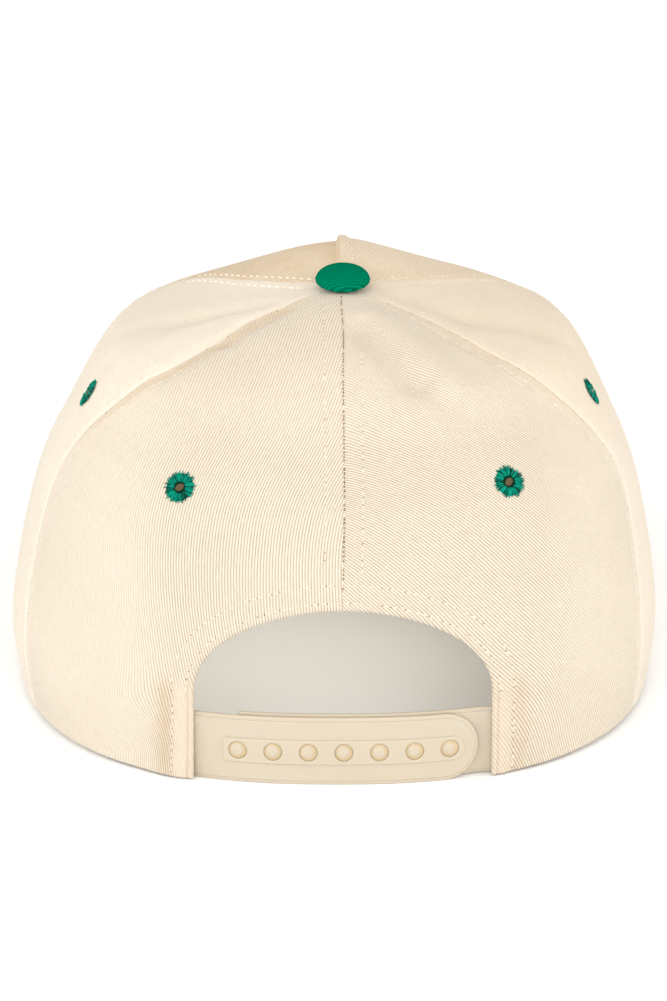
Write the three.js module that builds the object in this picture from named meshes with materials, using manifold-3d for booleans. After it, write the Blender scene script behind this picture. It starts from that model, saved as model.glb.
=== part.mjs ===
// Six-panel cap with a peak and a plastic snap strap, in millimetres, +Z up, its back towards -Y.
// It stands on the strap, the back hem and the two sides of the peak.
import * as THREE from 'three';
import Module from 'manifold-3d';

const wasm = await Module();
wasm.setup();

// Named sizes
const PANEL_THICKNESS = 1.8;
const SEAM_GAP = 0.3;
const SEAM_VALLEY = { depth: 0.5, reach: 2.2 };
const CENTRE_RIDGE = { height: 1.1, reach: 2.0 };
const ARCH = { halfWidth: 42, shoulderZ: 26, topZ: 50.5 };
const CENTRE_X = -2.5;
const CENTRE_Y = 132.505;
const GROUND_Z = 0.07;

const BAND = { depth: 2.3, thickness: 1.5, fromLevel: 0.04, toLevel: 1.32, endX: 46 };
const TAB = { depth: 2.2, thickness: 1.3, width: 19.8, rootX: 58, bulge: 1.3, bulgeReach: 42 };
const HOLE_TAB = { endX: 38.6, holeRadius: 2.6, holeHeight: 9.8 };
const HOLE_BAR = { fromX: -33.9, toX: 34.4, height: 7.2, rise: 0.6 };
const PEG_TAB = { endX: -36, cornerX: -29.4, endHeight: 7, rise: 0.5, depth: 3.9, pegRadius: 1.95, pegTopDepth: 1.5 };
const PEGS = { count: 7, firstX: -29.6, pitch: 9.95 };

const EYELET = { radius: 4.3, boreRadius: 1.3, neckRadius: 2.0, height: 0.9, panelHoleRadius: 2.4 };
const BUTTON = { radius: 7.9, low: 0.6, rim: 1.3, dome: 4, stemRadius: 1.4, stemLength: 3.1, pitch: 8 };
const PEAK = { thickness: 3, rootLevelDrop: 0.45, rootAngle: 119 };

// The crown, hem first and button last. Angles are in degrees from the back seam.
const CROWN_COLUMNS = [
  'backY', 'wideY', 'frontY', 'halfWidth', 'backZ', 'sideZ', 'frontZ',
  'backPower', 'frontPower', 'leanX', 'backSeam', 'sideSeam', 'frontSeam',
];
const CROWN_ROWS = [
  [-2.4, 98, 197, 92.3, 0, 2.5, 20, 2.53, 2.1, -2.5, 1.5, 61, 121],
  [-1.5, 97, 198, 94.6, 22, 24, 40, 2.6, 2.1, -2.5, 1.4, 61, 121],
  [2.1, 93.6, 196, 88.9, 50, 55.7, 66, 2.5, 2.13, -1.8, 1, 66.9, 121.5],
  [10.7, 86.9, 186, 81, 77.4, 77.8, 88.2, 2.47, 2.09, -1.1, 1.1, 68.5, 122],
  [27.5, 87.1, 169, 68.6, 96.1, 100.7, 98, 2.29, 2.28, -0.4, 0.6, 58.4, 122.7],
  [46.2, 88.1, 149.3, 57.3, 108.4, 107.9, 110.6, 2.11, 1.86, 0, 0.1, 54.1, 128.4],
  [71.1, 91.9, 123.4, 29.2, 115.5, 112.6, 120.2, 2.01, 1.72, -1.1, 2.4, 55.3, 120.1],
  [92, 92, 92, 0.01, 116.9, 116.9, 116.9, 2, 2, 0, 0, 58, 120],
];
const TOP_LEVEL = CROWN_ROWS.length - 1;
const PANEL_TOP_LEVEL = 6.9;

// Soft hollows (depth above 0) and raised folds (below 0), each along a line on the crown.
const FOLD_COLUMNS = ['fromLevel', 'fromAngle', 'toLevel', 'toAngle', 'reach', 'depth'];
const FOLD_ROWS = [
  [5.62, 12, 4.68, 23, 5, 1.7],
  [4.68, 23, 4.2, 31, 5, 0.9],
  [5.88, 27, 4.44, 34, 6, -1.2],
  [5.4, 44, 4.76, 42, 4, 0.35],
  [5.5, 48, 4.88, 52, 3, 0.6],
  [6.34, 81, 5.62, 72, 4, 0.7],
  [5.62, 72, 4.56, 81, 6, 1.1],
  [6.16, 104, 5.42, 96, 8, -0.6],
  [6.24, -71, 5.54, -80, 4, 0.8],
  [5.54, -80, 4.66, -86, 4.5, 0.9],
  [5.88, -72, 5.26, -78, 4, 0.5],
  [5.26, -78, 3.94, -76, 4.5, 0.5],
  [5.78, -67, 4.98, -67, 5, -0.7],
  [6.14, -48, 5.32, -51, 3.2, 1.5],
  [5.32, -51, 4.4, -54, 3.5, 1.3],
  [0.9, -36, 1.3, -29, 7, -0.9],
  [0, -26, 0.5, -28, 7, -1.2],
  [0.6, 31, 1.2, 34, 7, -0.8],
];

// The peak's outer edge on its top face, from the middle of the front to one side.
const PEAK_EDGE = [
  { x: 0, y: 267, z: 22 },
  { x: 40, y: 259, z: 18.5 },
  { x: 68, y: 236, z: 8.5 },
  { x: 81, y: 200, z: 3.2 },
  { x: 84, y: 166, z: 4.6 },
];

const EYELETS = [
  { name: 'eyelet_back_left', level: 3.14, angle: -34, panel: 'panel_back_left' },
  { name: 'eyelet_back_right', level: 3.18, angle: 36.5, panel: 'panel_back_right' },
  { name: 'eyelet_side_left', level: 3.59, angle: -76, panel: 'panel_side_left' },
  { name: 'eyelet_side_right', level: 3.61, angle: 76, panel: 'panel_side_right' },
];

const radians = THREE.MathUtils.degToRad;

function named(columns, values) {
  return Object.fromEntries(columns.map((column, k) => [column, values[k]]));
}

// Crown surface
function crownRow(level) {
  const index = THREE.MathUtils.clamp(Math.floor(level), 0, TOP_LEVEL - 1);
  const t = level - index;
  const at = (k, column) => CROWN_ROWS[k][column];
  const values = CROWN_COLUMNS.map((_, column) => {
    const b = at(index, column);
    const c = at(index + 1, column);
    const a = index > 0 ? at(index - 1, column) : 2 * b - c;
    const d = index + 2 <= TOP_LEVEL ? at(index + 2, column) : 2 * c - b;
    const square = 2 * a - 5 * b + 4 * c - d;
    const cube = 3 * b - a - 3 * c + d;
    return 0.5 * (2 * b + (c - a) * t + square * t * t + cube * t ** 3);
  });
  return named(CROWN_COLUMNS, values);
}

function crownPoint(level, angle) {
  const row = crownRow(level);
  const c = Math.cos(radians(angle));
  const s = Math.sin(radians(angle));
  const halfDepth = Math.max(c > 0 ? row.wideY - row.backY : row.frontY - row.wideY, 0.01);
  const power = c > 0 ? row.backPower : row.frontPower;
  const width = Math.abs(s / Math.max(row.halfWidth, 0.01)) ** power;
  const radius = (Math.abs(c / halfDepth) ** power + width) ** (-1 / power);
  const endZ = c > 0 ? row.backZ : row.frontZ;
  const z = endZ * c * c + row.sideZ * s * s;
  return new THREE.Vector3(row.leanX + radius * s, row.wideY - radius * c, z);
}

function crownNormal(level, angle) {
  const up = crownPoint(level + 0.01, angle).sub(crownPoint(level - 0.01, angle));
  const along = crownPoint(level, angle + 0.2).sub(crownPoint(level, angle - 0.2));
  return along.cross(up).normalize();
}

function seamAngle(seam, level, side) {
  const row = crownRow(level);
  return { back: side * row.backSeam, side: row.sideSeam, front: row.frontSeam, centre: 180 }[seam];
}

const folds = FOLD_ROWS.map((values) => {
  const fold = named(FOLD_COLUMNS, values);
  const from = crownPoint(fold.fromLevel, fold.fromAngle);
  const to = crownPoint(fold.toLevel, fold.toAngle);
  return { line: new THREE.Line3(from, to), reach: fold.reach, depth: fold.depth };
});

function foldDepth(point) {
  const nearest = new THREE.Vector3();
  let depth = 0;
  for (const fold of folds) {
    fold.line.closestPointToPoint(point, true, nearest);
    depth += fold.depth * Math.exp(-((nearest.distanceTo(point) / fold.reach) ** 2));
  }
  return depth;
}

function seamDepth(point, level, side) {
  let depth = 0;
  for (const seam of ['back', 'side', 'front', 'centre']) {
    const distance = point.distanceTo(crownPoint(level, side * seamAngle(seam, level, side)));
    if (seam === 'centre') {
      depth -= CENTRE_RIDGE.height * Math.exp(-((distance / CENTRE_RIDGE.reach) ** 2));
    } else {
      depth += SEAM_VALLEY.depth * Math.exp(-((distance / SEAM_VALLEY.reach) ** 2));
    }
  }
  return depth * smoothStep(level, 0.2, 1.2) * (1 - smoothStep(level, 6.2, 6.7));
}

function pointUnder(level, angle, depth) {
  return crownPoint(level, angle).addScaledVector(crownNormal(level, angle), -depth);
}

function angleAtX(level, x) {
  let low = -80;
  let high = 80;
  for (let step = 0; step < 30; step += 1) {
    const middle = (low + high) / 2;
    if (crownPoint(level, middle).x < x) {
      low = middle;
    } else {
      high = middle;
    }
  }
  return (low + high) / 2;
}

function smoothStep(value, from, to) {
  return THREE.MathUtils.smoothstep(value, from, to);
}

// Closed shells: an outer and an inner grid of points, joined round their edges
function shell(outer, inner) {
  const rows = outer.length;
  const columns = outer[0].length;
  const positions = [...outer.flat(), ...inner.flat()].flatMap((p) => [p.x, p.y, p.z]);
  const indices = [];
  const outside = (r, c) => r * columns + c;
  const inside = (r, c) => rows * columns + r * columns + c;
  const quad = (a, b, c, d) => indices.push(a, b, c, a, c, d);
  for (let r = 0; r < rows - 1; r += 1) {
    for (let c = 0; c < columns - 1; c += 1) {
      quad(outside(r, c), outside(r, c + 1), outside(r + 1, c + 1), outside(r + 1, c));
      quad(inside(r, c), inside(r + 1, c), inside(r + 1, c + 1), inside(r, c + 1));
    }
  }
  for (let c = 0; c < columns - 1; c += 1) {
    quad(outside(0, c), inside(0, c), inside(0, c + 1), outside(0, c + 1));
    quad(outside(rows - 1, c), outside(rows - 1, c + 1), inside(rows - 1, c + 1), inside(rows - 1, c));
  }
  const last = columns - 1;
  for (let r = 0; r < rows - 1; r += 1) {
    quad(outside(r, 0), outside(r + 1, 0), inside(r + 1, 0), inside(r, 0));
    quad(outside(r, last), inside(r, last), inside(r + 1, last), outside(r + 1, last));
  }
  const geometry = new THREE.BufferGeometry();
  geometry.setAttribute('position', new THREE.Float32BufferAttribute(positions, 3));
  geometry.setIndex(indices);
  return facingOut(geometry);
}

function facingOut(geometry) {
  const position = geometry.getAttribute('position');
  const index = geometry.getIndex();
  const [a, b, c] = [new THREE.Vector3(), new THREE.Vector3(), new THREE.Vector3()];
  let volume = 0;
  for (let k = 0; k < index.count; k += 3) {
    a.fromBufferAttribute(position, index.getX(k));
    b.fromBufferAttribute(position, index.getX(k + 1));
    c.fromBufferAttribute(position, index.getX(k + 2));
    volume += a.dot(b.cross(c));
  }
  if (volume < 0) {
    const flipped = [];
    for (let k = 0; k < index.count; k += 3) {
      flipped.push(index.getX(k), index.getX(k + 2), index.getX(k + 1));
    }
    geometry.setIndex(flipped);
  }
  return geometry;
}

// Adding, cutting and intersecting closed solids
function weld(geometry) {
  const position = geometry.getAttribute('position');
  const source = geometry.getIndex();
  const count = source ? source.count : position.count;
  const slots = new Map();
  const vertices = [];
  const corners = [];
  for (let k = 0; k < count; k += 1) {
    const v = source ? source.getX(k) : k;
    const point = [position.getX(v), position.getY(v), position.getZ(v)];
    const key = point.map((value) => Math.round(value * 1e4)).join();
    if (!slots.has(key)) {
      slots.set(key, vertices.length / 3);
      vertices.push(...point);
    }
    corners.push(slots.get(key));
  }
  const indices = [];
  for (let k = 0; k < corners.length; k += 3) {
    const [a, b, c] = corners.slice(k, k + 3);
    if (a !== b && b !== c && c !== a) {
      indices.push(a, b, c);
    }
  }
  return { vertices, indices };
}

function toManifold(geometry) {
  const { vertices, indices } = weld(geometry);
  const vertProperties = new Float32Array(vertices);
  const triVerts = new Uint32Array(indices);
  return new wasm.Manifold(new wasm.Mesh({ numProp: 3, vertProperties, triVerts }));
}

function toGeometry(manifold) {
  const mesh = manifold.getMesh();
  const geometry = new THREE.BufferGeometry();
  geometry.setAttribute('position', new THREE.Float32BufferAttribute(mesh.vertProperties, 3));
  geometry.setIndex([...mesh.triVerts]);
  return geometry;
}

function cylinderAlong(centre, axis, radius, from, to, sides) {
  const geometry = new THREE.CylinderGeometry(radius, radius, to - from, sides);
  geometry.translate(0, (from + to) / 2, 0);
  geometry.applyQuaternion(new THREE.Quaternion().setFromUnitVectors(new THREE.Vector3(0, 1, 0), axis));
  return geometry.translate(centre.x, centre.y, centre.z);
}

// A flat outline in X and Z, carried through along Y
function prismAlongY(shape, fromY, toY) {
  const options = { depth: toY - fromY, bevelEnabled: false, curveSegments: 12 };
  const geometry = new THREE.ExtrudeGeometry(shape, options);
  return geometry.rotateX(Math.PI / 2).translate(0, toY, 0);
}

function archShape() {
  const rise = ARCH.topZ - ARCH.shoulderZ;
  const shape = new THREE.Shape();
  shape.moveTo(-ARCH.halfWidth, -10);
  shape.lineTo(ARCH.halfWidth, -10);
  shape.lineTo(ARCH.halfWidth, ARCH.shoulderZ);
  shape.absellipse(0, ARCH.shoulderZ, ARCH.halfWidth, rise, 0, Math.PI, false);
  shape.closePath();
  return shape;
}

// One end square, the other end round
function tabShape(squareX, roundX, lowZ, highZ) {
  const radius = (highZ - lowZ) / 2;
  const middleZ = lowZ + radius;
  const shape = new THREE.Shape();
  if (roundX > squareX) {
    shape.moveTo(squareX, lowZ);
    shape.lineTo(roundX - radius, lowZ);
    shape.absarc(roundX - radius, middleZ, radius, -Math.PI / 2, Math.PI / 2, false);
    shape.lineTo(squareX, highZ);
  } else {
    shape.moveTo(squareX, highZ);
    shape.lineTo(roundX + radius, highZ);
    shape.absarc(roundX + radius, middleZ, radius, Math.PI / 2, 3 * Math.PI / 2, false);
    shape.lineTo(squareX, lowZ);
  }
  shape.closePath();
  return shape;
}

// The peg tab's outline, with a blunt free end
function pegTabShape(lowZ, highZ) {
  const middleZ = (lowZ + highZ) / 2;
  const halfEnd = PEG_TAB.endHeight / 2;
  const shape = new THREE.Shape();
  shape.moveTo(TAB.rootX + 5, highZ);
  shape.lineTo(PEG_TAB.cornerX, highZ);
  shape.lineTo(PEG_TAB.endX, middleZ + halfEnd);
  shape.lineTo(PEG_TAB.endX, middleZ - halfEnd);
  shape.lineTo(PEG_TAB.cornerX, lowZ);
  shape.lineTo(TAB.rootX + 5, lowZ);
  shape.closePath();
  return shape;
}

// Crown panels, each between two seams
const PANEL_ROWS = 14;
const PANEL_COLUMNS = 14;
const PANELS = [
  { name: 'panel_back', from: 'back', to: 'side' },
  { name: 'panel_side', from: 'side', to: 'front' },
  { name: 'panel_front', from: 'front', to: 'centre' },
];

function seamMargin(level, angle) {
  const step = crownPoint(level, angle + 0.1).distanceTo(crownPoint(level, angle - 0.1)) / 0.2;
  return SEAM_GAP / 2 / step;
}

function panelGeometry(panel, side) {
  const outer = [];
  const inner = [];
  for (let r = 0; r <= PANEL_ROWS; r += 1) {
    const level = PANEL_TOP_LEVEL * r / PANEL_ROWS;
    const low = seamAngle(panel.from, level, side);
    const high = seamAngle(panel.to, level, side);
    const from = low + seamMargin(level, side * low);
    const to = high - seamMargin(level, side * high);
    const outerRow = [];
    const innerRow = [];
    for (let c = 0; c <= PANEL_COLUMNS; c += 1) {
      const across = (1 - Math.cos(Math.PI * c / PANEL_COLUMNS)) / 2;
      const angle = side * THREE.MathUtils.lerp(from, to, across);
      const point = crownPoint(level, angle);
      const fold = foldDepth(point);
      const seam = seamDepth(point, level, side);
      outerRow.push(pointUnder(level, angle, fold + seam));
      innerRow.push(pointUnder(level, angle, fold + PANEL_THICKNESS));
    }
    outer.push(outerRow);
    inner.push(innerRow);
  }
  return shell(outer, inner);
}

function cutPanel(geometry, name) {
  let solid = toManifold(geometry);
  if (name.startsWith('panel_back')) {
    solid = solid.subtract(toManifold(prismAlongY(archShape(), -20, 45)));
  }
  for (const eyelet of EYELETS.filter((each) => each.panel === name)) {
    const centre = crownPoint(eyelet.level, eyelet.angle);
    const axis = crownNormal(eyelet.level, eyelet.angle);
    const hole = cylinderAlong(centre, axis, EYELET.panelHoleRadius, -8, 8, 16);
    solid = solid.subtract(toManifold(hole));
  }
  return toGeometry(solid);
}

// Turned pieces: the profile is [radius, height] pairs, closed on itself or on the axis
function turned(profile, sides) {
  const points = profile.map(([radius, height]) => new THREE.Vector2(radius, height));
  return toGeometry(toManifold(new THREE.LatheGeometry(points, sides)));
}

function eyeletGeometry() {
  const { radius, boreRadius, neckRadius, height } = EYELET;
  const low = 0.4;
  const neckEnd = low - 1.9;
  const profile = [
    [boreRadius, neckEnd],
    [neckRadius, neckEnd],
    [neckRadius, low],
    [radius, low],
    [radius, low + height * 0.5],
    [radius * 0.72, low + height],
    [boreRadius * 1.6, low + height],
    [boreRadius, low + height * 0.6],
    [boreRadius, neckEnd],
  ];
  return turned(profile, 14);
}

function buttonGeometry() {
  const rimZ = BUTTON.low + BUTTON.rim;
  const profile = [
    [0, -BUTTON.stemLength],
    [BUTTON.stemRadius, -BUTTON.stemLength],
    [BUTTON.stemRadius, BUTTON.low],
  ];
  for (let step = 0; step <= 2; step += 1) {
    const turn = radians(-60 + 30 * step);
    const under = BUTTON.rim * Math.sin(turn) / Math.sin(radians(60));
    profile.push([BUTTON.radius * Math.cos(turn), rimZ + under]);
  }
  for (let step = 1; step <= 5; step += 1) {
    const turn = radians(17 * step);
    profile.push([BUTTON.radius * Math.cos(turn), rimZ + BUTTON.dome * Math.sin(turn)]);
  }
  profile.push([0, rimZ + BUTTON.dome]);
  return turned(profile, 24);
}

// Peak: rows run from the front hem out to the edge
const PEAK_COLUMNS = 26;
const PEAK_ROWS = 6;

function peakRoot(share, depth) {
  const angle = 180 - share * (180 - PEAK.rootAngle);
  const point = pointUnder(0, angle, depth);
  point.z = crownPoint(0, angle).z - PEAK.rootLevelDrop;
  return point;
}

function peakEdgeCurve() {
  const corner = peakRoot(1, 0);
  const side = PEAK_EDGE.map((p) => new THREE.Vector3(p.x, p.y, p.z));
  side.push(new THREE.Vector3(corner.x - CENTRE_X, corner.y + 1, corner.z));
  const other = side.slice(1).reverse().map((p) => new THREE.Vector3(-p.x, p.y, p.z));
  const points = [...other, ...side].map((p) => p.setX(p.x + CENTRE_X));
  return new THREE.CatmullRomCurve3(points, false, 'centripetal');
}

function peakGeometry() {
  const edge = peakEdgeCurve();
  const top = [];
  for (let r = 0; r <= PEAK_ROWS + 1; r += 1) {
    const row = [];
    for (let c = 0; c <= PEAK_COLUMNS; c += 1) {
      const share = 2 * c / PEAK_COLUMNS - 1;
      if (r === 0) {
        row.push(peakRoot(share, PANEL_THICKNESS));
      } else {
        const out = (r - 1) / PEAK_ROWS;
        row.push(peakRoot(share, 0).lerp(edge.getPointAt((share + 1) / 2), out));
      }
    }
    top.push(row);
  }
  const bottom = top.map((row, r) => row.map((point, c) => {
    const across = top[r][Math.min(c + 1, PEAK_COLUMNS)].clone().sub(top[r][Math.max(c - 1, 0)]);
    const flatX = Math.hypot(across.x, across.y);
    const lean = new THREE.Vector3(-across.z * across.x / flatX, -across.z * across.y / flatX, flatX);
    return point.clone().addScaledVector(lean.normalize(), -PEAK.thickness);
  }));
  return shell(top, bottom);
}

// Sweatband: from one side of the arch round the front to the other, deeper over the strap's roots
const BAND_COLUMNS = 58;
const BAND_ROWS = 3;

function bandDepth(point) {
  const overTab = point.y < 60 ? 1 - smoothStep(Math.abs(point.x), TAB.rootX + 3, TAB.rootX + 14) : 0;
  return BAND.depth + overTab * (TAB.thickness + 0.3);
}

function sweatbandGeometry() {
  const outer = [];
  const inner = [];
  for (let r = 0; r <= BAND_ROWS; r += 1) {
    const level = THREE.MathUtils.lerp(BAND.fromLevel, BAND.toLevel, r / BAND_ROWS);
    const start = angleAtX(level, BAND.endX);
    const end = 360 + angleAtX(level, -BAND.endX);
    const outerRow = [];
    const innerRow = [];
    for (let c = 0; c <= BAND_COLUMNS; c += 1) {
      const angle = THREE.MathUtils.lerp(start, end, c / BAND_COLUMNS);
      const depth = bandDepth(crownPoint(level, angle));
      outerRow.push(pointUnder(level, angle, depth));
      innerRow.push(pointUnder(level, angle, depth + BAND.thickness));
    }
    outer.push(outerRow);
    inner.push(innerRow);
  }
  return shell(outer, inner);
}

// Strap: slabs that follow the hem, trimmed by flat outlines
const LEVEL_PER_MM = 1 / 22;
const STRAP_STEP = 4.6;

function strapSlab(fromX, toX, lowZ, highZ, depthAt, thickness) {
  const columns = Math.ceil((toX - fromX) / STRAP_STEP);
  const outer = [];
  const inner = [];
  for (let r = 0; r <= 2; r += 1) {
    const level = THREE.MathUtils.lerp(lowZ, highZ, r / 2) * LEVEL_PER_MM;
    const outerRow = [];
    const innerRow = [];
    for (let c = 0; c <= columns; c += 1) {
      const x = THREE.MathUtils.lerp(fromX, toX, c / columns);
      const angle = angleAtX(level, x);
      outerRow.push(pointUnder(level, angle, depthAt(x)));
      innerRow.push(pointUnder(level, angle, depthAt(x) + thickness));
    }
    outer.push(outerRow);
    inner.push(innerRow);
  }
  return toManifold(shell(outer, inner));
}

function strapStation(x, height) {
  const level = height * LEVEL_PER_MM;
  const angle = angleAtX(level, x);
  return { point: crownPoint(level, angle), axis: crownNormal(level, angle) };
}

function pegX(k) {
  return PEGS.firstX + k * PEGS.pitch;
}

// How far the strap bows outwards in the open arch
function strapBulge(x) {
  return TAB.bulge * Math.max(0, 1 - (x / TAB.bulgeReach) ** 2);
}

function holeTabGeometry() {
  const outline = tabShape(-TAB.rootX - 5, HOLE_TAB.endX, GROUND_Z, TAB.width + GROUND_Z);
  const depthAt = (x) => TAB.depth - strapBulge(x);
  let tab = strapSlab(-TAB.rootX, HOLE_TAB.endX + 1, -2, TAB.width + 1, depthAt, TAB.thickness);
  tab = tab.intersect(toManifold(prismAlongY(outline, -15, 30)));
  const barLow = HOLE_TAB.holeHeight - HOLE_BAR.height / 2;
  const barHigh = HOLE_TAB.holeHeight + HOLE_BAR.height / 2;
  const barOutline = tabShape(HOLE_BAR.fromX, HOLE_BAR.toX, barLow, barHigh);
  const barDepthAt = (x) => depthAt(x) - HOLE_BAR.rise;
  const barThickness = HOLE_BAR.rise + 0.4;
  const [barFrom, barTo] = [HOLE_BAR.fromX - 3, HOLE_BAR.toX + 3];
  let bar = strapSlab(barFrom, barTo, 3, TAB.width - 3, barDepthAt, barThickness);
  bar = bar.intersect(toManifold(prismAlongY(barOutline, -15, 30)));
  tab = tab.add(bar);
  for (let k = 0; k < PEGS.count; k += 1) {
    const { point, axis } = strapStation(pegX(k), HOLE_TAB.holeHeight);
    tab = tab.subtract(toManifold(cylinderAlong(point, axis, HOLE_TAB.holeRadius, -6, 4, 14)));
  }
  return toGeometry(tab);
}

function pegTabGeometry() {
  const low = PEG_TAB.rise;
  const high = PEG_TAB.rise + TAB.width;
  const outline = pegTabShape(low, high + 0.3);
  const depthAt = (x) => THREE.MathUtils.lerp(PEG_TAB.depth, TAB.depth, smoothStep(x, 38, 45)) - strapBulge(x);
  let tab = strapSlab(PEG_TAB.endX - 1, TAB.rootX, low, high, depthAt, TAB.thickness);
  tab = tab.intersect(toManifold(prismAlongY(outline, -15, 30)));
  for (let k = 0; k < PEGS.count; k += 1) {
    const { point, axis } = strapStation(pegX(k), HOLE_TAB.holeHeight);
    const bulge = strapBulge(pegX(k));
    const root = bulge - PEG_TAB.depth - TAB.thickness / 2;
    const peg = cylinderAlong(point, axis, PEG_TAB.pegRadius, root, bulge - PEG_TAB.pegTopDepth, 12);
    tab = tab.add(toManifold(peg));
  }
  return toGeometry(tab);
}

// Materials and the finished cap
const group = new THREE.Group();
group.position.set(-CENTRE_X, -CENTRE_Y, -GROUND_Z);

function addPiece(name, geometry, color, roughness) {
  geometry.computeVertexNormals();
  const material = new THREE.MeshStandardMaterial({ color, roughness, metalness: 0 });
  const mesh = new THREE.Mesh(geometry, material);
  mesh.name = name;
  group.add(mesh);
  return mesh;
}

const CREAM = 0xf0e2c8;
const GREEN = 0x0b8460;
const DARK_GREEN = 0x0a7a58;
const BAND_CREAM = 0xe9dcc4;
const PLASTIC = 0xe6d5b2;

for (const panel of PANELS) {
  for (const [word, side] of [['left', -1], ['right', 1]]) {
    const name = `${panel.name}_${word}`;
    addPiece(name, cutPanel(panelGeometry(panel, side), name), CREAM, 0.9);
  }
}

for (const eyelet of EYELETS) {
  const mesh = addPiece(eyelet.name, eyeletGeometry(), DARK_GREEN, 0.8);
  mesh.position.copy(crownPoint(eyelet.level, eyelet.angle));
  mesh.quaternion.setFromUnitVectors(new THREE.Vector3(0, 1, 0), crownNormal(eyelet.level, eyelet.angle));
}

const button = addPiece('button', buttonGeometry(), GREEN, 0.85);
button.position.copy(crownPoint(TOP_LEVEL, 0));
button.rotation.set(Math.PI / 2 + radians(BUTTON.pitch), 0, 0);

addPiece('peak', peakGeometry(), GREEN, 0.9);
addPiece('sweatband', sweatbandGeometry(), BAND_CREAM, 0.9);
addPiece('strap_hole_tab', holeTabGeometry(), PLASTIC, 0.45);
addPiece('strap_peg_tab', pegTabGeometry(), PLASTIC, 0.45);

export default group;
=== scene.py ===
import math

import bmesh
import bpy
import numpy as np
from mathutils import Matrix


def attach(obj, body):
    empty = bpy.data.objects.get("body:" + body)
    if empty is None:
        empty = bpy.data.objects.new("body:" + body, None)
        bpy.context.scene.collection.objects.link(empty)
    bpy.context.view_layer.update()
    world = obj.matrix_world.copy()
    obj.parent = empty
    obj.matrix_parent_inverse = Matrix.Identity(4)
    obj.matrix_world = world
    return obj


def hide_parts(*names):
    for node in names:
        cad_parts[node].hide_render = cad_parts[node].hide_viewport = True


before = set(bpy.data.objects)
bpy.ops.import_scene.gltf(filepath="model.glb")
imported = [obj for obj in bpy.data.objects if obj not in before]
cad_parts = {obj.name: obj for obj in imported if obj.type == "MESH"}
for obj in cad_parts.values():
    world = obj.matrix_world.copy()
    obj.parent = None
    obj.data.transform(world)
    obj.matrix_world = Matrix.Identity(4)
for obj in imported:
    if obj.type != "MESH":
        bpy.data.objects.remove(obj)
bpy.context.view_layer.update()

# Sizes in millimetres, in the hat's own frame: X to the right, Y to the front, Z up from the hem
CENTRE = np.array([-2.5, 132.505, 0.07])
PANEL_THICKNESS = 1.8
ARCH = {"half_width": 42, "shoulder_z": 26, "top_z": 50.5, "seam_x": -0.18}
BAND = {
    "depth": 2.3, "thickness": 1.5, "height": 28.16, "run": 520.96,
    "from_level": 0.04, "to_level": 1.32, "end_x": 46, "low_row": 2.0, "high_row": 3.6,
}
TAB = {
    "depth": 2.2, "thickness": 1.3, "width": 19.8, "low_z": 0.07, "root_x": 58,
    "bulge": 1.3, "bulge_reach": 42, "corner": 1, "bevel": 0.5,
}
HOLE_TAB = {"end_x": 38.6, "hole_radius": 2.6, "hole_height": 9.8}
HOLE_BAR = {
    "from_x": -33.9, "to_x": 34.4, "height": 7.2, "rise": 0.7, "sunk": 0.7,
    "corner": 0.9, "bevel": 0.34,
}
FACE = {"border": 1.1, "rise": 0.3, "thickness": 1.0, "bevel": 0.3}
ROUND_END_TRIM = 0.1
PEG_TAB = {
    "low_z": 0.5, "depth": 3.9, "end_x": -36, "end_height": 7, "end_corner": 1.6,
    "corner_x": -29.4, "corner": 1.2, "face_x": 26.6, "bend_from_x": 38, "bend_to_x": 45,
}
PEGS = {"count": 7, "first_x": -29.6, "pitch": 9.95, "chamfer": 0.25}
PEG = {"radius": 1.85, "foot_depth": 4.1, "head_depth": 1.85, "shift": (-0.22, 0, 0.12)}
COLLAR = {"radius": 2.57, "foot_depth": 4.0, "head_depth": 2.05, "shift": (0, 0, 0)}
EYELET_HOLE = 2.0
BUTTON = {"radius": 7.9, "low": 0.6, "rim": 1.3, "dome": 4, "pitch": 8, "tuck": 72}
PEAK = {"thickness": 3, "root_drop": 0.45, "root_angle": 119}

# The crown, hem first and button last. Angles are in degrees from the middle of the back.
CROWN_COLUMNS = (
    "back_y", "wide_y", "front_y", "half_width", "back_z", "side_z", "front_z",
    "back_power", "front_power", "lean_x", "back_seam", "side_seam", "front_seam",
)
CROWN_ROWS = np.array([
    [-2.4, 98, 197, 92.3, 0, 2.5, 20, 2.53, 2.1, -2.5, 1.5, 61, 121],
    [-1.5, 97, 198, 94.6, 22, 24, 40, 2.6, 2.1, -2.5, 1.4, 61, 121],
    [2.1, 93.6, 196, 88.9, 50, 55.7, 66, 2.5, 2.13, -1.8, 1, 66.9, 121.5],
    [10.7, 86.9, 186, 81, 77.4, 77.8, 88.2, 2.47, 2.09, -1.1, 1.1, 68.5, 122],
    [27.5, 87.1, 169, 68.6, 96.1, 100.7, 98, 2.29, 2.28, -0.4, 0.6, 58.4, 122.7],
    [46.2, 88.1, 149.3, 57.3, 108.4, 107.9, 110.6, 2.11, 1.86, 0, 0.1, 54.1, 128.4],
    [71.1, 91.9, 123.4, 29.2, 115.5, 112.6, 120.2, 2.01, 1.72, -1.1, 2.4, 55.3, 120.1],
    [92, 92, 92, 0.01, 116.9, 116.9, 116.9, 2, 2, 0, 0, 58, 120],
])
TOP_LEVEL = len(CROWN_ROWS) - 1
PANEL_TOP_LEVEL = 6.9

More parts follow.
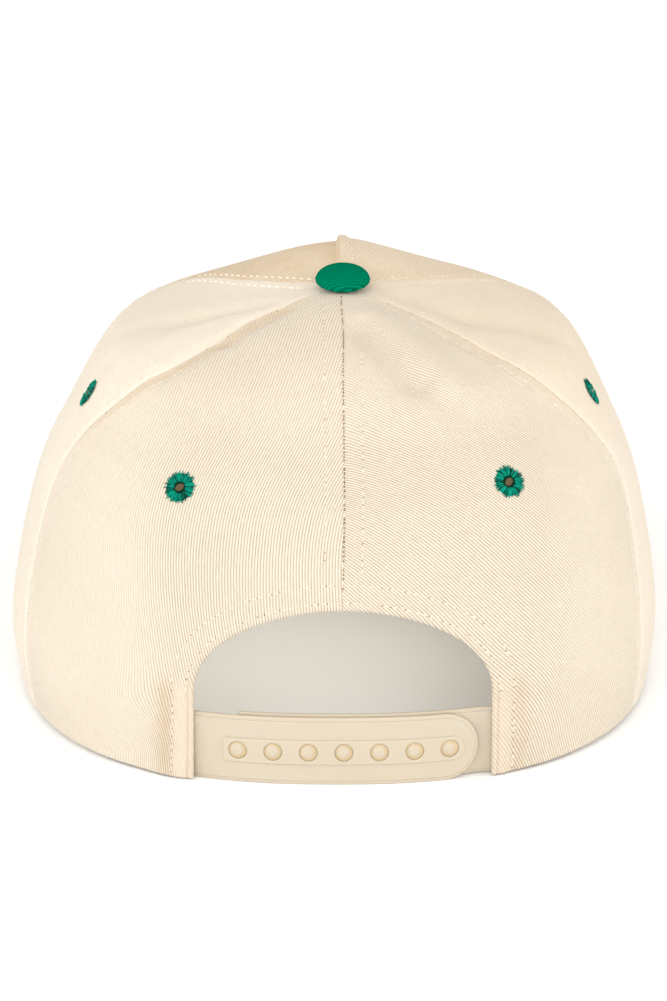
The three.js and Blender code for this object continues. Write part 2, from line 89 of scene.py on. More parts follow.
# Soft hollows (depth above 0) and raised folds (below 0), each along a line on the crown
FOLD_COLUMNS = ("from_level", "from_angle", "to_level", "to_angle", "reach", "depth")
FOLD_ROWS = [
    (5.62, 12, 4.68, 23, 5, 1.7),
    (4.68, 23, 4.2, 31, 5, 0.9),
    (5.88, 27, 4.44, 34, 6, -1.2),
    (5.4, 44, 4.76, 42, 4, 0.35),
    (5.5, 48, 4.88, 52, 3, 0.6),
    (6.34, 81, 5.62, 72, 4, 0.7),
    (5.62, 72, 4.56, 81, 6, 1.1),
    (6.16, 104, 5.42, 96, 8, -0.6),
    (6.24, -71, 5.54, -80, 4, 0.8),
    (5.54, -80, 4.66, -86, 4.5, 0.9),
    (5.88, -72, 5.26, -78, 4, 0.5),
    (5.26, -78, 3.94, -76, 4.5, 0.5),
    (5.78, -67, 4.98, -67, 5, -0.7),
    (6.14, -48, 5.32, -51, 3.2, 1.5),
    (5.32, -51, 4.4, -54, 3.5, 1.3),
    (0.9, -36, 1.3, -29, 7, -0.9),
    (0, -26, 0.5, -28, 7, -1.2),
    (0.6, 31, 1.2, 34, 7, -0.8),
]
# The right half of the peak's outer edge, from its middle back to the crown: x, y and z
PEAK_EDGE = np.array([[0, 267, 22], [40, 259, 18.5], [68, 236, 8.5], [81, 200, 3.2], [84, 166, 4.6]])
EYELETS = [
    {"name": "back_left", "level": 3.14, "angle": -34, "panel": "back"},
    {"name": "back_right", "level": 3.18, "angle": 36.5, "panel": "back"},
    {"name": "side_left", "level": 3.59, "angle": -76, "panel": "side"},
    {"name": "side_right", "level": 3.61, "angle": 76, "panel": "side"},
]

# Seams: grooves, padding and steps of the cloth, in millimetres
SEAM = {
    "groove": 0.5, "groove_reach": 0.4, "back_groove": 0.2, "pad": 0.2, "step": 0.2,
    "row_groove": 0.16, "ripple": 0.09,
}
SIDE_SEAM_FADE_Z = (74, 100)
# How far each row of stitches lies from its seam, by seam and panel
SEAM_ROWS = {
    ("back", "back"): 5.2,
    ("side", "back"): 3.6,
    ("side", "side"): 3.0,
    ("front", "side"): 3.8,
    ("front", "front"): 1.6,
}
# The raised centre seam of the front, and on its right the lap of cloth and a row of stitches
CREST = {"height": 1.5, "row": 3.6, "row_groove": 0.15, "lap": 1.1, "lap_reach": 9}
CREST_SIDES = {-1: {"reach": 0.7, "softness": 0.35}, 1: {"reach": 2.5, "softness": 0.9}}
# The turned edge of the arch and its two rows of stitches
ARCH_ROWS = (2.4, 7.2)
ARCH_RELIEF = {
    "pad": 0.28, "lip": 0.3, "lip_groove": 0.32,
    "first_groove": 0.17, "last_groove": 0.2, "ripple": 0.07,
}
ARCH_LEG_Z = (24, 32)

# Painted shade on the cloth, and where its weave is made flat, by panel and side
# Painted shade on the front panels and the right side panel, strongest towards their tops, which face away
# from the light
PANEL_PAINTED_SHADE = {
    ("front", -1): 0.72,
    ("front", 1): 0.55,
    ("side", 1): 0.3,
    ("side", -1): 0.06,
}
SHADE_FADE_Z = (48, 112)
# Painted shade in the band on the back panel under each side seam, by side
SIDE_SEAM_SHADE = {-1: 0.46, 1: 0.28}
# Painted shadow beside each leg of the arch, by side
LEG_SHADE = {-1: 0.45, 1: 0.3}
# Where the weave goes flat and lighter: rubbing on the strip by each leg of the arch, painted glare on the
# far left and right sides, and higher up on the back panels
LEG_WEAR = {-1: 0.8, 1: 0.5}
OUTER_GLARE = {-1: {"from_x": 42, "to_x": 66, "share": 1}, 1: {"from_x": 48, "to_x": 74, "share": 0.75}}
UPPER_FLAT_Z = (86, 101)

# The twill's slant on each panel, in degrees, and the swirls beside the arch's legs
TWILL_TURN = {
    "back_left": 11, "back_right": 38,
    "side_left": 34, "side_right": -25,
    "front_left": -50, "front_right": 17,
}
TWILL_SWIRLS = {
    "back_left": {"x": -7, "y": 13, "reach": 11, "turn": 44},
    "back_right": {"x": 13, "y": 9, "reach": 24, "turn": -21},
}
PANEL_SEAMS = {"back": ("back", "side"), "side": ("side", "front"), "front": ("front", "centre")}


def smooth_step(value, low, high):
    """Rises smoothly from 0 at low to 1 at high."""
    t = np.clip((value - low) / (high - low), 0, 1)
    return t * t * (3 - 2 * t)


def bell(value, middle, reach):
    """A soft bump, 1 in its middle."""
    return np.exp(-(((value - middle) / reach) ** 2))


# Crown surface
PADDED_ROWS = np.vstack([2 * CROWN_ROWS[0] - CROWN_ROWS[1], CROWN_ROWS, 2 * CROWN_ROWS[-1] - CROWN_ROWS[-2]])


def crown_row(level):
    """The crown's section at any level, on a smooth curve through the rows."""
    level = np.asarray(level, float)
    index = np.clip(np.floor(level), 0, TOP_LEVEL - 1).astype(int)
    t = (level - index)[..., None]
    a, b, c, d = (PADDED_ROWS[index + k] for k in range(4))
    value = 0.5 * (2 * b + (c - a) * t + (2 * a - 5 * b + 4 * c - d) * t**2 + (3 * b - a - 3 * c + d) * t**3)
    return dict(zip(CROWN_COLUMNS, np.moveaxis(value, -1, 0)))


def crown_point(level, angle):
    """A point of the plain crown: level 0 is the hem and 7 the button, angle 0 the middle of the back."""
    level, angle = np.broadcast_arrays(np.asarray(level, float), np.asarray(angle, float))
    row = crown_row(level)
    c = np.cos(np.radians(angle))
    s = np.sin(np.radians(angle))
    back = c > 0
    half_depth = np.where(back, row["wide_y"] - row["back_y"], row["front_y"] - row["wide_y"])
    half_depth = np.maximum(half_depth, 0.01)
    power = np.where(back, row["back_power"], row["front_power"])
    width = np.abs(s / np.maximum(row["half_width"], 0.01)) ** power
    radius = (np.abs(c / half_depth) ** power + width) ** (-1 / power)
    end_z = np.where(back, row["back_z"], row["front_z"])
    z = end_z * c * c + row["side_z"] * s * s
    return np.stack([row["lean_x"] + radius * s, row["wide_y"] - radius * c, z], axis=-1)


def crown_normal(level, angle):
    """The way out of the plain crown."""
    up = crown_point(level + 0.01, angle) - crown_point(level - 0.01, angle)
    along = crown_point(level, angle + 0.2) - crown_point(level, angle - 0.2)
    out = np.cross(along, up)
    return out / np.linalg.norm(out, axis=-1, keepdims=True)


def seam_angle(seam, level, side):
    """Degrees from the middle of the back to a seam, on one side."""
    if seam == "centre":
        return np.full(np.shape(level), 180.0)
    return crown_row(level)[f"{seam}_seam"] * (side if seam == "back" else 1)


# Arc lengths on the crown: round it from the middle of the back, and up it from the hem
LEVELS = np.linspace(-0.2, 7, 145)
ANGLES = np.linspace(-5, 180, 371)
CROWN_GRID = crown_point(LEVELS[:, None], ANGLES[None, :])
ROUND = np.zeros(CROWN_GRID.shape[:2])
ROUND[:, 1:] = np.cumsum(np.linalg.norm(np.diff(CROWN_GRID, axis=1), axis=-1), axis=1)
ROUND -= ROUND[:, 10:11]
CLIMB = np.zeros(CROWN_GRID.shape[:2])
CLIMB[1:] = np.cumsum(np.linalg.norm(np.diff(CROWN_GRID, axis=0), axis=-1), axis=0)
CLIMB -= CLIMB[4]


def from_table(table, level, angle):
    """A value between the points of a table of arc lengths."""
    r = np.clip((level - LEVELS[0]) / (LEVELS[1] - LEVELS[0]), 0, len(LEVELS) - 1.001)
    c = np.clip((angle - ANGLES[0]) / (ANGLES[1] - ANGLES[0]), 0, len(ANGLES) - 1.001)
    i, j = r.astype(int), c.astype(int)
    y, x = r - i, c - j
    low = table[i, j] * (1 - x) + table[i, j + 1] * x
    high = table[i + 1, j] * (1 - x) + table[i + 1, j + 1] * x
    return low * (1 - y) + high * y


def halving(target, value_at, low, high, steps=30):
    """Where a rising function reaches its targets, by halving the interval."""
    low = np.full(np.shape(target), float(low))
    high = np.full(np.shape(target), float(high))
    for _ in range(steps):
        middle = (low + high) / 2
        below = value_at(middle) < target
        low = np.where(below, middle, low)
        high = np.where(below, high, middle)
    return (low + high) / 2


def angle_at_distance(level, distance):
    """The angle that lies this many millimetres round the crown from the middle of the back."""
    level, distance = np.broadcast_arrays(np.asarray(level, float), np.asarray(distance, float))
    return halving(distance, lambda angle: from_table(ROUND, level, angle), -5, 180)


def angle_at_x(level, x):
    """The angle of the point of the back at x."""
    level, x = np.broadcast_arrays(np.asarray(level, float), np.asarray(x, float))
    return halving(x, lambda angle: crown_point(level, angle)[..., 0], -80, 80)


def locate(x, z, depth=0.0):
    """Level and angle of the point of the back at x and z, that far under the surface."""
    x, z = np.broadcast_arrays(np.asarray(x, float), np.asarray(z, float))
    level = z / 24
    for _ in range(9):
        angle = angle_at_x(level, x)
        now = under(level, angle, depth)[..., 2]
        slope = (under(level + 0.02, angle, depth)[..., 2] - now) / 0.02
        level = level + (z - now) / slope
    return level, angle


def under(level, angle, depth):
    """The point that lies this deep under the crown's surface."""
    return crown_point(level, angle) - crown_normal(level, angle) * np.asarray(depth)[..., None]


def run_along(path):
    """The distance along a path at each of its points."""
    return np.concatenate([[0], np.cumsum(np.linalg.norm(np.diff(path, axis=0), axis=1))])


def points_at(at, run, path):
    """The points of a path at these distances along it."""
    return np.stack([np.interp(at, run, path[:, k]) for k in range(3)], -1)


def distance_to_path(points, path):
    """The distance from each point to the nearest stretch of a path."""
    flat = points.reshape(-1, 3)
    result = np.empty(len(flat))
    for first in range(0, len(flat), 3000):
        part = flat[first:first + 3000]
        nearest = np.argmin(((part[:, None] - path[None]) ** 2).sum(-1), axis=1)
        best = np.full(len(part), np.inf)
        for shift in (-1, 0):
            k = np.clip(nearest + shift, 0, len(path) - 2)
            a, b = path[k], path[k + 1]
            t = ((part - a) * (b - a)).sum(-1) / np.maximum(((b - a) ** 2).sum(-1), 1e-9)
            foot = a + np.clip(t, 0, 1)[:, None] * (b - a)
            best = np.minimum(best, np.linalg.norm(part - foot, axis=-1))
        result[first:first + 3000] = best
    return result.reshape(points.shape[:-1])


def arch_outline(side):
    """x and z of the arch's edge, from the back seam down to the hem on one side."""
    turn = np.radians(np.linspace(-10, 90, 400))
    rise = ARCH["top_z"] - ARCH["shoulder_z"]
    x = ARCH["half_width"] * np.sin(turn)
    z = ARCH["shoulder_z"] + rise * np.cos(turn)
    start_x = ARCH["seam_x"] * side
    keep = x > start_x
    leg_z = np.linspace(ARCH["shoulder_z"], 0, 61)[1:]
    x = np.concatenate([[start_x], x[keep], np.full(len(leg_z), ARCH["half_width"])])
    z = np.concatenate([z[keep][:1], z[keep], leg_z])
    return side * x, z


def arch_edge(side):
    """Level and angle of the arch's edge, from the back seam down to the hem."""
    level, angle = locate(*arch_outline(side))
    keep = level > 0
    level = np.append(level[keep], 0.0)
    angle = side * np.append(angle[keep], angle_at_x(0.0, side * ARCH["half_width"]))
    angle[0] = seam_angle("back", level[0], side)
    return level, angle


SEAM_LEVELS = np.linspace(-0.05, 7, 420)
SEAM_PATHS = {
    (seam, side): crown_point(SEAM_LEVELS, side * seam_angle(seam, SEAM_LEVELS, side))
    for side in (-1, 1)
    for seam in ("back", "side", "front", "centre")
}
ARCH_EDGES = {side: arch_edge(side) for side in (-1, 1)}
ARCH_PATHS = {side: crown_point(level, side * angle) for side, (level, angle) in ARCH_EDGES.items()}

# Soft waves that keep the cloth from lying quite even
WAVE_COUNT = 9
WAVES = np.random.default_rng(11)
WAVE_DIRECTIONS = WAVES.normal(size=(WAVE_COUNT, 3))
WAVE_DIRECTIONS /= np.linalg.norm(WAVE_DIRECTIONS, axis=1, keepdims=True)
WAVE_LENGTHS = WAVES.uniform(22, 60, WAVE_COUNT)
WAVE_PHASES = WAVES.uniform(0, 6.28, WAVE_COUNT)
WAVE_TURN = 6.283
WAVE_SLOPE = 1 / 40
WAVE_SHARE = 0.5


def soft_waves(points):
    """A slow, uneven swell of the cloth."""
    total = 0
    for direction, length, phase in zip(WAVE_DIRECTIONS, WAVE_LENGTHS, WAVE_PHASES):
        total = total + np.sin(points @ direction * (WAVE_TURN / length) + phase) * length * WAVE_SLOPE
    return total / WAVE_COUNT


def fold_depth(points):
    """How deep the folds and waves press the crown in."""
    depth = np.zeros(points.shape[:-1])
    for row in FOLD_ROWS:
        fold = dict(zip(FOLD_COLUMNS, row))
        a = crown_point(fold["from_level"], fold["from_angle"])
        b = crown_point(fold["to_level"], fold["to_angle"])
        t = np.clip(((points - a) @ (b - a)) / ((b - a) @ (b - a)), 0, 1)
        away = np.linalg.norm(points - a - t[..., None] * (b - a), axis=-1)
        depth += fold["depth"] * np.exp(-((away / fold["reach"]) ** 2))
    return depth + WAVE_SHARE * soft_waves(points)


def edge_roll(distance, radius):
    """How far a face drops towards a rounded edge."""
    inside = np.clip(distance, 0, radius)
    return (radius - np.sqrt(np.maximum(radius**2 - (radius - inside) ** 2, 0))) * 0.93


def arch_row_share(z):
    """The rows of stitches lie closer to the arch's edge beside the strap than above it."""
    return 0.79 + 0.21 * smooth_step(z, 22, 42)


def seam_ripple(climb, side):
    """The small puckers that a row of stitches draws along a seam."""
    ripple = np.sin(climb * 0.83 + 1.9 * np.sin(climb * 0.21 + side) + 2 * side)
    return ripple + 0.6 * np.sin(climb * 1.37 + 3 * side)


def crest_relief(away, side, top_fade):
    """The raised centre seam, and on the right the lap of cloth and the row beside it."""
    reach, softness = CREST_SIDES[side]["reach"], CREST_SIDES[side]["softness"]
    ridge = 1 - smooth_step(away, reach - softness, reach + softness * 0.4)
    relief = -top_fade * CREST["height"] * ridge
    if side > 0:
        relief += CREST["row_groove"] * bell(away, CREST["row"], 0.5)
        relief -= top_fade * CREST["lap"] * bell(away, 0, CREST["lap_reach"]) * (1 - 0.7 * ridge)
    return relief


def seam_relief(seam, panel, side, away, climb, z, top_fade):
    """What a seam adds to a panel beside it: relief, painted shade and weave flattened by rubbing."""
    row = SEAM_ROWS[seam, panel]
    groove = SEAM["groove" if seam == "front" else "back_groove"]
    relief = top_fade * groove * bell(away, 0, SEAM["groove_reach"])
    shade = 0 * away
    rubbing_and_glare = 0 * away
    strength = top_fade
    if seam == "side":
        strength = top_fade * (0.1 + 0.9 * smooth_step(z, *SIDE_SEAM_FADE_Z))
        if panel == "side":
            relief -= strength * SEAM["step"] * (1 - smooth_step(away, 1.0, 6.0))
            rubbing_and_glare += 0.8 * (1 - smooth_step(away, 1.5, 4.5))
        else:
            relief += strength * SEAM["step"] * bell(away, 1.0, 2.2)
            # Painted shade in the band under the side seam
            shade += strength * SIDE_SEAM_SHADE[side] * bell(away, 1.6, 1.5)
            rubbing_and_glare += 0.45 * (1 - smooth_step(away, 2.0, 4.0))
    else:
        pad = smooth_step(away, 0.2, 1.6) * (1 - smooth_step(away, row - 0.9, row + 1.4))
        relief -= top_fade * SEAM["pad"] * pad
    relief += strength * SEAM["row_groove"] * bell(away, row, 0.7)
    relief += strength * SEAM["ripple"] * seam_ripple(climb, side) * bell(away, row - 0.6, 2.4)
    return relief, shade, rubbing_and_glare


def arch_relief(side, arch, climb, x, z):
    """What the turned edge of the arch adds to a back panel: relief, painted shade, and weave made flat by
    rubbing and by painted glare.
    """
    first, last = (row * arch_row_share(z) for row in ARCH_ROWS)
    pad = (1 - smooth_step(arch, last - 0.8, last + 1.4)) * smooth_step(arch, 0.4, 1.4)
    leg = 1 - smooth_step(z, *ARCH_LEG_Z)
    relief = -ARCH_RELIEF["pad"] * pad
    relief += leg * ARCH_RELIEF["lip_groove"] * bell(arch, 1.4, 0.3)
    relief -= leg * ARCH_RELIEF["lip"] * bell(arch, 0.6, 0.7)
    relief += (1 - leg) * ARCH_RELIEF["first_groove"] * bell(arch, first, 0.65)
    relief += ARCH_RELIEF["last_groove"] * bell(arch, last, 0.65)
    relief += ARCH_RELIEF["ripple"] * np.sin(climb * 0.9 + x * 0.8) * bell(arch, last - 1, 2.2)
    strip = leg * (1 - smooth_step(arch, last - 0.7, last + 0.3))
    # Painted shade: a shadow beside each leg of the arch, a dark line in the crease of its turned edge, and a
    # little darker over the flat strip by the legs
    shade = leg * (LEG_SHADE[side] * bell(arch, 8.2, 2.6) + 0.3 * bell(arch, 1.4, 0.4)) + 0.16 * strip
    # Painted glare: the weave goes flat and lighter on the far left and right sides; it also goes flat higher
    # up
    glare_band = OUTER_GLARE[side]
    outside = glare_band["share"] * smooth_step(side * x, glare_band["from_x"], glare_band["to_x"])
    rubbing_and_glare = LEG_WEAR[side] * strip + 0.58 * outside + 0.33 * smooth_step(z, *UPPER_FLAT_Z)
    return relief, shade, rubbing_and_glare


def cloth_depths(points, level, angle, side, panel):
    """How deep a panel's two faces lie under the plain crown, how much painted shade its cloth gets, and
    where its weave goes flat from rubbing and from painted glare.
    """
    fold = fold_depth(points)
    x, z = points[..., 0], points[..., 2]
    climb = from_table(CLIMB, level, angle)
    top_fade = 1 - smooth_step(level, 6.2, 6.7)
    # Painted shade by panel, strongest at the top and fading towards the hem
    tint = PANEL_PAINTED_SHADE.get((panel, side), 0) * (0.2 + 0.8 * smooth_step(z, *SHADE_FADE_Z))
    # Painted shade in the hollows of the folds
    shade = tint + 0.05 * np.clip(fold, 0, 1.2)
    outer = 0 * shade
    rubbing_and_glare = 0 * shade
    edge = climb
    reliefs = []
    for seam in PANEL_SEAMS[panel]:
        away = distance_to_path(points, SEAM_PATHS[seam, side])
        if seam == "centre":
            outer += crest_relief(away, side, top_fade)
        else:
            reliefs.append(seam_relief(seam, panel, side, away, climb, z, top_fade))
    if panel == "back":
        arch = distance_to_path(points, ARCH_PATHS[side])
        edge = np.minimum(edge, arch)
        reliefs.append(arch_relief(side, arch, climb, x, z))
    for relief, tinted, flattened in reliefs:
        outer += relief
        shade += tinted
        rubbing_and_glare += flattened
    roll = edge_roll(edge, PANEL_THICKNESS / 2)
    return fold + outer + roll, fold + PANEL_THICKNESS - roll, shade, np.clip(rubbing_and_glare, 0, 0.9)


def cloth_surface(level, angle, side, panel, lift=0.0):
    """Points on a crown panel's outer face, and the way out from it."""
    points = crown_point(level, side * angle)
    normal = crown_normal(level, side * angle)
    outer = cloth_depths(points, level, angle, side, panel)[0]
    return points + normal * (lift - outer)[..., None], normal


# Meshes
def to_frame(points):
    """Millimetres in the hat's own frame to metres in the part's frame."""
    return (np.asarray(points, float) - CENTRE) / 1000


def add_object(name, mesh):
    piece = bpy.data.objects.new(name, mesh)
    bpy.context.scene.collection.objects.link(piece)
    return piece


def add_cloth_uv(mesh, uv):
    """Places on the flat cloth, in millimetres, as the mesh's UV map."""
    layer = mesh.uv_layers.new(name="cloth")
    corners = np.empty(len(mesh.loops), int)
    mesh.loops.foreach_get("vertex_index", corners)
    layer.data.foreach_set("uv", np.asarray(uv)[corners].ravel())


def cloth_mesh(name, points, faces, uv):
    mesh = bpy.data.meshes.new(name)
    mesh.from_pydata(to_frame(points).tolist(), [], [tuple(face) for face in faces.tolist()])
    mesh.polygons.foreach_set("use_smooth", [True] * len(mesh.polygons))
    add_cloth_uv(mesh, uv)
    mesh.set_sharp_from_angle(angle=math.radians(50))
    mesh.validate()
    return add_object(name, mesh)


def sheet_shell(name, outer, inner, uv, keep=None, layers=()):
    """A closed shell from two grids of points, open where keep is False, with named attributes."""
    rows, columns = outer.shape[:2]
    if keep is None:
        keep = np.ones((rows - 1, columns - 1), bool)
    shift = rows * columns
    ids = np.arange(shift).reshape(rows, columns)
    low_left, low_right = ids[:-1, :-1], ids[:-1, 1:]
    high_left, high_right = ids[1:, :-1], ids[1:, 1:]
    top = np.stack([low_left, low_right, high_right, high_left], -1)[keep]
    under_side = np.stack([low_left, high_left, high_right, low_right], -1)[keep] + shift
    faces = [top, under_side]
    wide = np.pad(keep, 1)
    for a, b, this, other in (
        (ids[:, :-1], ids[:, 1:], wide[1:, 1:-1], wide[:-1, 1:-1]),
        (ids[:-1, :], ids[1:, :], wide[1:-1, :-1], wide[1:-1, 1:]),
    ):
        for start, end, mask in ((a, b, this & ~other), (b, a, other & ~this)):
            faces.append(np.stack([start, start + shift, end + shift, end], -1)[mask])
    points = np.concatenate([outer.reshape(-1, 3), inner.reshape(-1, 3)])
    uvs = np.tile(uv.reshape(-1, 2), (2, 1))
    piece = cloth_mesh(name, points, np.concatenate(faces), uvs)
    for label in layers:
        layer = piece.data.attributes.new(label, "FLOAT", "POINT")
        layer.data.foreach_set("value", np.tile(layers[label].ravel(), 2))
    clean(piece.data)
    return piece


def clean(mesh):
    """Drops loose points and turns the faces of a closed mesh outwards."""
    work = bmesh.new()
    work.from_mesh(mesh)
    loose = [v for v in work.verts if not v.link_faces]
    bmesh.ops.delete(work, geom=loose, context="VERTS")
    if work.calc_volume(signed=True) < 0:
        bmesh.ops.reverse_faces(work, faces=work.faces[:])
    work.to_mesh(mesh)
    work.free()


def spaced(total, near, far, count):
    """Distances along lines of these lengths: fixed ones at both ends, even ones between."""
    total = np.atleast_1d(np.asarray(total, float))[:, None]
    near = np.asarray(near, float)[None]
    far = np.asarray(far, float)[None]
    scale = np.minimum(1, total * 0.8 / (near.max() + far.max()))
    middle = np.linspace(0, 1, count + 2)[None, 1:-1]
    low = near.max() * scale
    high = total - far.max() * scale
    return np.concatenate([near * scale, low + (high - low) * middle, total - (far * scale)[:, ::-1]], axis=1)


# How far the lines of a cloth's grid lie from the arch, from a seam and from the hem
EDGE_STEPS = (
    0, 0.07, 0.2, 0.4, 0.65, 0.9, 1.2, 1.4, 1.7, 2.1, 2.5, 3.2, 4.2,
    5.1, 5.6, 6.1, 6.6, 7.1, 7.7, 8.6,
)
SEAM_STEPS = (0, 0.2, 0.4, 0.65, 0.9, 1.2, 1.7, 2.5, 3.5, 4.4, 5.0, 5.4, 5.7, 6.1, 6.6, 7.4, 8.6)
HEM_STEPS = (0, 0.1, 0.3, 0.6, 0.9, 1.4, 2.2)
BACK_LINES = {"up": 62, "across": 56, "trial": 260}
PLAIN_LINES = {"up": 104, "across": 48}


def panel_uv(level, angle, panel, word):
    """Places on the panel's flat cloth, in mm from the middle of its hem, turned to the twill."""
    side = -1 if word == "left" else 1
    low, high = (seam_angle(seam, LEVELS, side) for seam in PANEL_SEAMS[panel])
    width = from_table(ROUND, LEVELS, high) - from_table(ROUND, LEVELS, low)
    climb = from_table(CLIMB, LEVELS, (low + high) / 2)
    middle = (from_table(ROUND, LEVELS, high) + from_table(ROUND, LEVELS, low)) / 2
    bend = width / np.maximum(-np.gradient(width, climb), width / 600)
    x = side * (from_table(ROUND, level, angle) - np.interp(level, LEVELS, middle))
    radius = np.interp(level, LEVELS, bend)
    y = np.interp(level, LEVELS, climb) + radius * (1 - np.cos(x / radius))
    x = radius * np.sin(x / radius)
    turn = math.radians(TWILL_TURN[f"{panel}_{word}"])
    swirl = TWILL_SWIRLS.get(f"{panel}_{word}")
    if swirl:
        x = x - swirl["x"]
        y = y - swirl["y"]
        turn = turn + math.radians(swirl["turn"]) * bell(np.hypot(x, y), 0, swirl["reach"])
    return np.stack([x * np.cos(turn) + y * np.sin(turn), y * np.cos(turn) - x * np.sin(turn)], -1)


def back_panel_grid(side):
    """Lines of a back panel that run from the arch and the back seam across to the side seam."""
    near_level, near_angle = ARCH_EDGES[side]
    near_round = from_table(ROUND, near_level, near_angle)
    near_run = run_along(ARCH_PATHS[side])
    down = np.linspace(PANEL_TOP_LEVEL, 0, 400)[1:]
    top_from, top_to = (seam_angle(seam, PANEL_TOP_LEVEL, side) for seam in ("back", "side"))
    top_angle = np.linspace(top_from, top_to, 12)
    far_level = np.concatenate([np.full(len(top_angle), PANEL_TOP_LEVEL), down])
    far_angle = np.concatenate([top_angle, seam_angle("side", down, side)])
    far_round = from_table(ROUND, far_level, far_angle)
    far_run = run_along(crown_point(far_level, far_angle))
    near_at = spaced(near_run[-1], SEAM_STEPS, HEM_STEPS, BACK_LINES["up"])[0]
    far_at = near_at / near_run[-1] * far_run[-1]
    share = np.linspace(0, 1, BACK_LINES["trial"])[None, :]

    def across(near, far):
        start = np.interp(near_at, near_run, near)[:, None]
        end = np.interp(far_at, far_run, far)[:, None]
        return (1 - share) * start + share * end

    level = across(near_level, far_level)
    around = across(near_round, far_round)
    line = crown_point(level, angle_at_distance(level, around))
    run = np.zeros(level.shape)
    run[:, 1:] = np.cumsum(np.linalg.norm(np.diff(line, axis=1), axis=-1), axis=1)
    at = spaced(run[:, -1], EDGE_STEPS, SEAM_STEPS, BACK_LINES["across"])
    level = np.stack([np.interp(*row) for row in zip(at, run, level)])
    around = np.stack([np.interp(*row) for row in zip(at, run, around)])
    angle = angle_at_distance(level, around)
    angle[0] = seam_angle("back", level[0], side)
    return level, angle


def plain_panel_grid(panel):
    """Lines of a side or front panel that run level from seam to seam."""
    start, end = PANEL_SEAMS[panel]
    middle = (seam_angle(start, LEVELS, 1) + seam_angle(end, LEVELS, 1)) / 2
    climb = from_table(CLIMB, LEVELS, middle)
    top = np.interp(PANEL_TOP_LEVEL, LEVELS, climb)
    heights = spaced(top, HEM_STEPS, (0,), PLAIN_LINES["up"])[0]
    level = np.interp(heights, climb, LEVELS)
    level[0] = 0
    low = from_table(ROUND, level, seam_angle(start, level, 1))
    high = from_table(ROUND, level, seam_angle(end, level, 1))
    across = spaced(high - low, SEAM_STEPS, SEAM_STEPS, PLAIN_LINES["across"]) + low[:, None]
    level = np.broadcast_to(level[:, None], across.shape)
    angle = angle_at_distance(level, across)
    angle[:, 0] = seam_angle(start, level[:, 0], 1)
    angle[:, -1] = seam_angle(end, level[:, -1], 1)
    return level, angle


def crown_panel(panel, word, side):
    """A crown panel's cloth: its own folds, seams and edges, pressed in round its eyelet."""
    level, angle = back_panel_grid(side) if panel == "back" else plain_panel_grid(panel)
    points = crown_point(level, side * angle)
    normal = crown_normal(level, side * angle)
    outer, inner, shade, rubbing_and_glare = cloth_depths(points, level, angle, side, panel)
    keep = np.ones((level.shape[0] - 1, level.shape[1] - 1), bool)
    middle = (points[1:, 1:] + points[:-1, :-1] + points[1:, :-1] + points[:-1, 1:]) / 4
    for eyelet in EYELETS:
        if eyelet["panel"] == panel and (eyelet["angle"] > 0) == (side > 0):
            centre = crown_point(eyelet["level"], eyelet["angle"])
            keep &= np.linalg.norm(middle - centre, axis=-1) > EYELET_HOLE
            away = np.linalg.norm(points - centre, axis=-1)
            outer = outer + 0.35 * bell(away, 0, 5.5)
    uv = panel_uv(level, angle, panel, word)
    faces_out = points - normal * outer[..., None]
    faces_in = points - normal * inner[..., None]
    return sheet_shell(f"crown_{panel}_{word}", faces_out, faces_in, uv, keep, {"shade": shade, "rubbing_and_glare": rubbing_and_glare})


# Peak
PEAK_COUNT = 221
PEAK_ROWS = (3.0, 9.0, 15.0, 21.0, 27.0, 33.0, 39.0, 45.0)
PEAK_LIP_STEPS = (0, 0.1, 0.3, 0.6, 1.0, 1.5, 2.2, 2.6, 3.0, 3.4, 3.9, 4.8)


def peak_root(share, depth):
    """The line where the peak meets the front's hem; share runs from -1 on the left to 1."""
    angle = 180 - share * (180 - PEAK["root_angle"])
    point = under(np.zeros_like(angle), angle, np.full_like(angle, depth))
    point[..., 2] = crown_point(0, angle)[..., 2] - PEAK["root_drop"]
    return point


def peak_edge(count):
    """The peak's outer edge on its top face, from left to right, evenly spaced."""
    corner = peak_root(np.array([1.0]), 0.0)[0]
    side = np.vstack([PEAK_EDGE, [corner[0] - CENTRE[0], corner[1] + 1, corner[2]]])
    points = np.vstack([side[:0:-1] * [-1, 1, 1], side]) + [CENTRE[0], 0, 0]
    padded = np.vstack([2 * points[0] - points[1], points, 2 * points[-1] - points[-2]])
    t = np.linspace(0, 1, 200, endpoint=False)[:, None]
    path = []
    for k in range(len(points) - 1):
        p0, p1, p2, p3 = padded[k:k + 4]
        d0, d1, d2 = (math.sqrt(np.linalg.norm(b - a)) for a, b in ((p0, p1), (p1, p2), (p2, p3)))
        t1 = ((p1 - p0) / d0 - (p2 - p0) / (d0 + d1) + (p2 - p1) / d1) * d1
        t2 = ((p2 - p1) / d1 - (p3 - p1) / (d1 + d2) + (p3 - p2) / d2) * d1
        path.append(p1 + t1 * t + (3 * (p2 - p1) - 2 * t1 - t2) * t**2 + (2 * (p1 - p2) + t1 + t2) * t**3)
    path = np.vstack(path + [points[-1:]])
    run = run_along(path)
    return points_at(np.linspace(0, run[-1], count), run, path)


def peak_surface():
    """The peak's root on the crown, its outer edge and its root inside the cloth, from left to right."""
    share = np.linspace(-1, 1, PEAK_COUNT)
    root = peak_root(share, 0.0)
    edge = peak_edge(PEAK_COUNT)
    return root, edge, peak_root(share, PANEL_THICKNESS)


def lean_of(row):
    """The way up out of the peak along one row of its points."""
    across = np.gradient(row, axis=0)
    flat = np.hypot(across[:, 0], across[:, 1])
    lean = np.stack([-across[:, 2] * across[:, 0] / flat, -across[:, 2] * across[:, 1] / flat, flat], -1)
    return lean / np.linalg.norm(lean, axis=-1, keepdims=True)


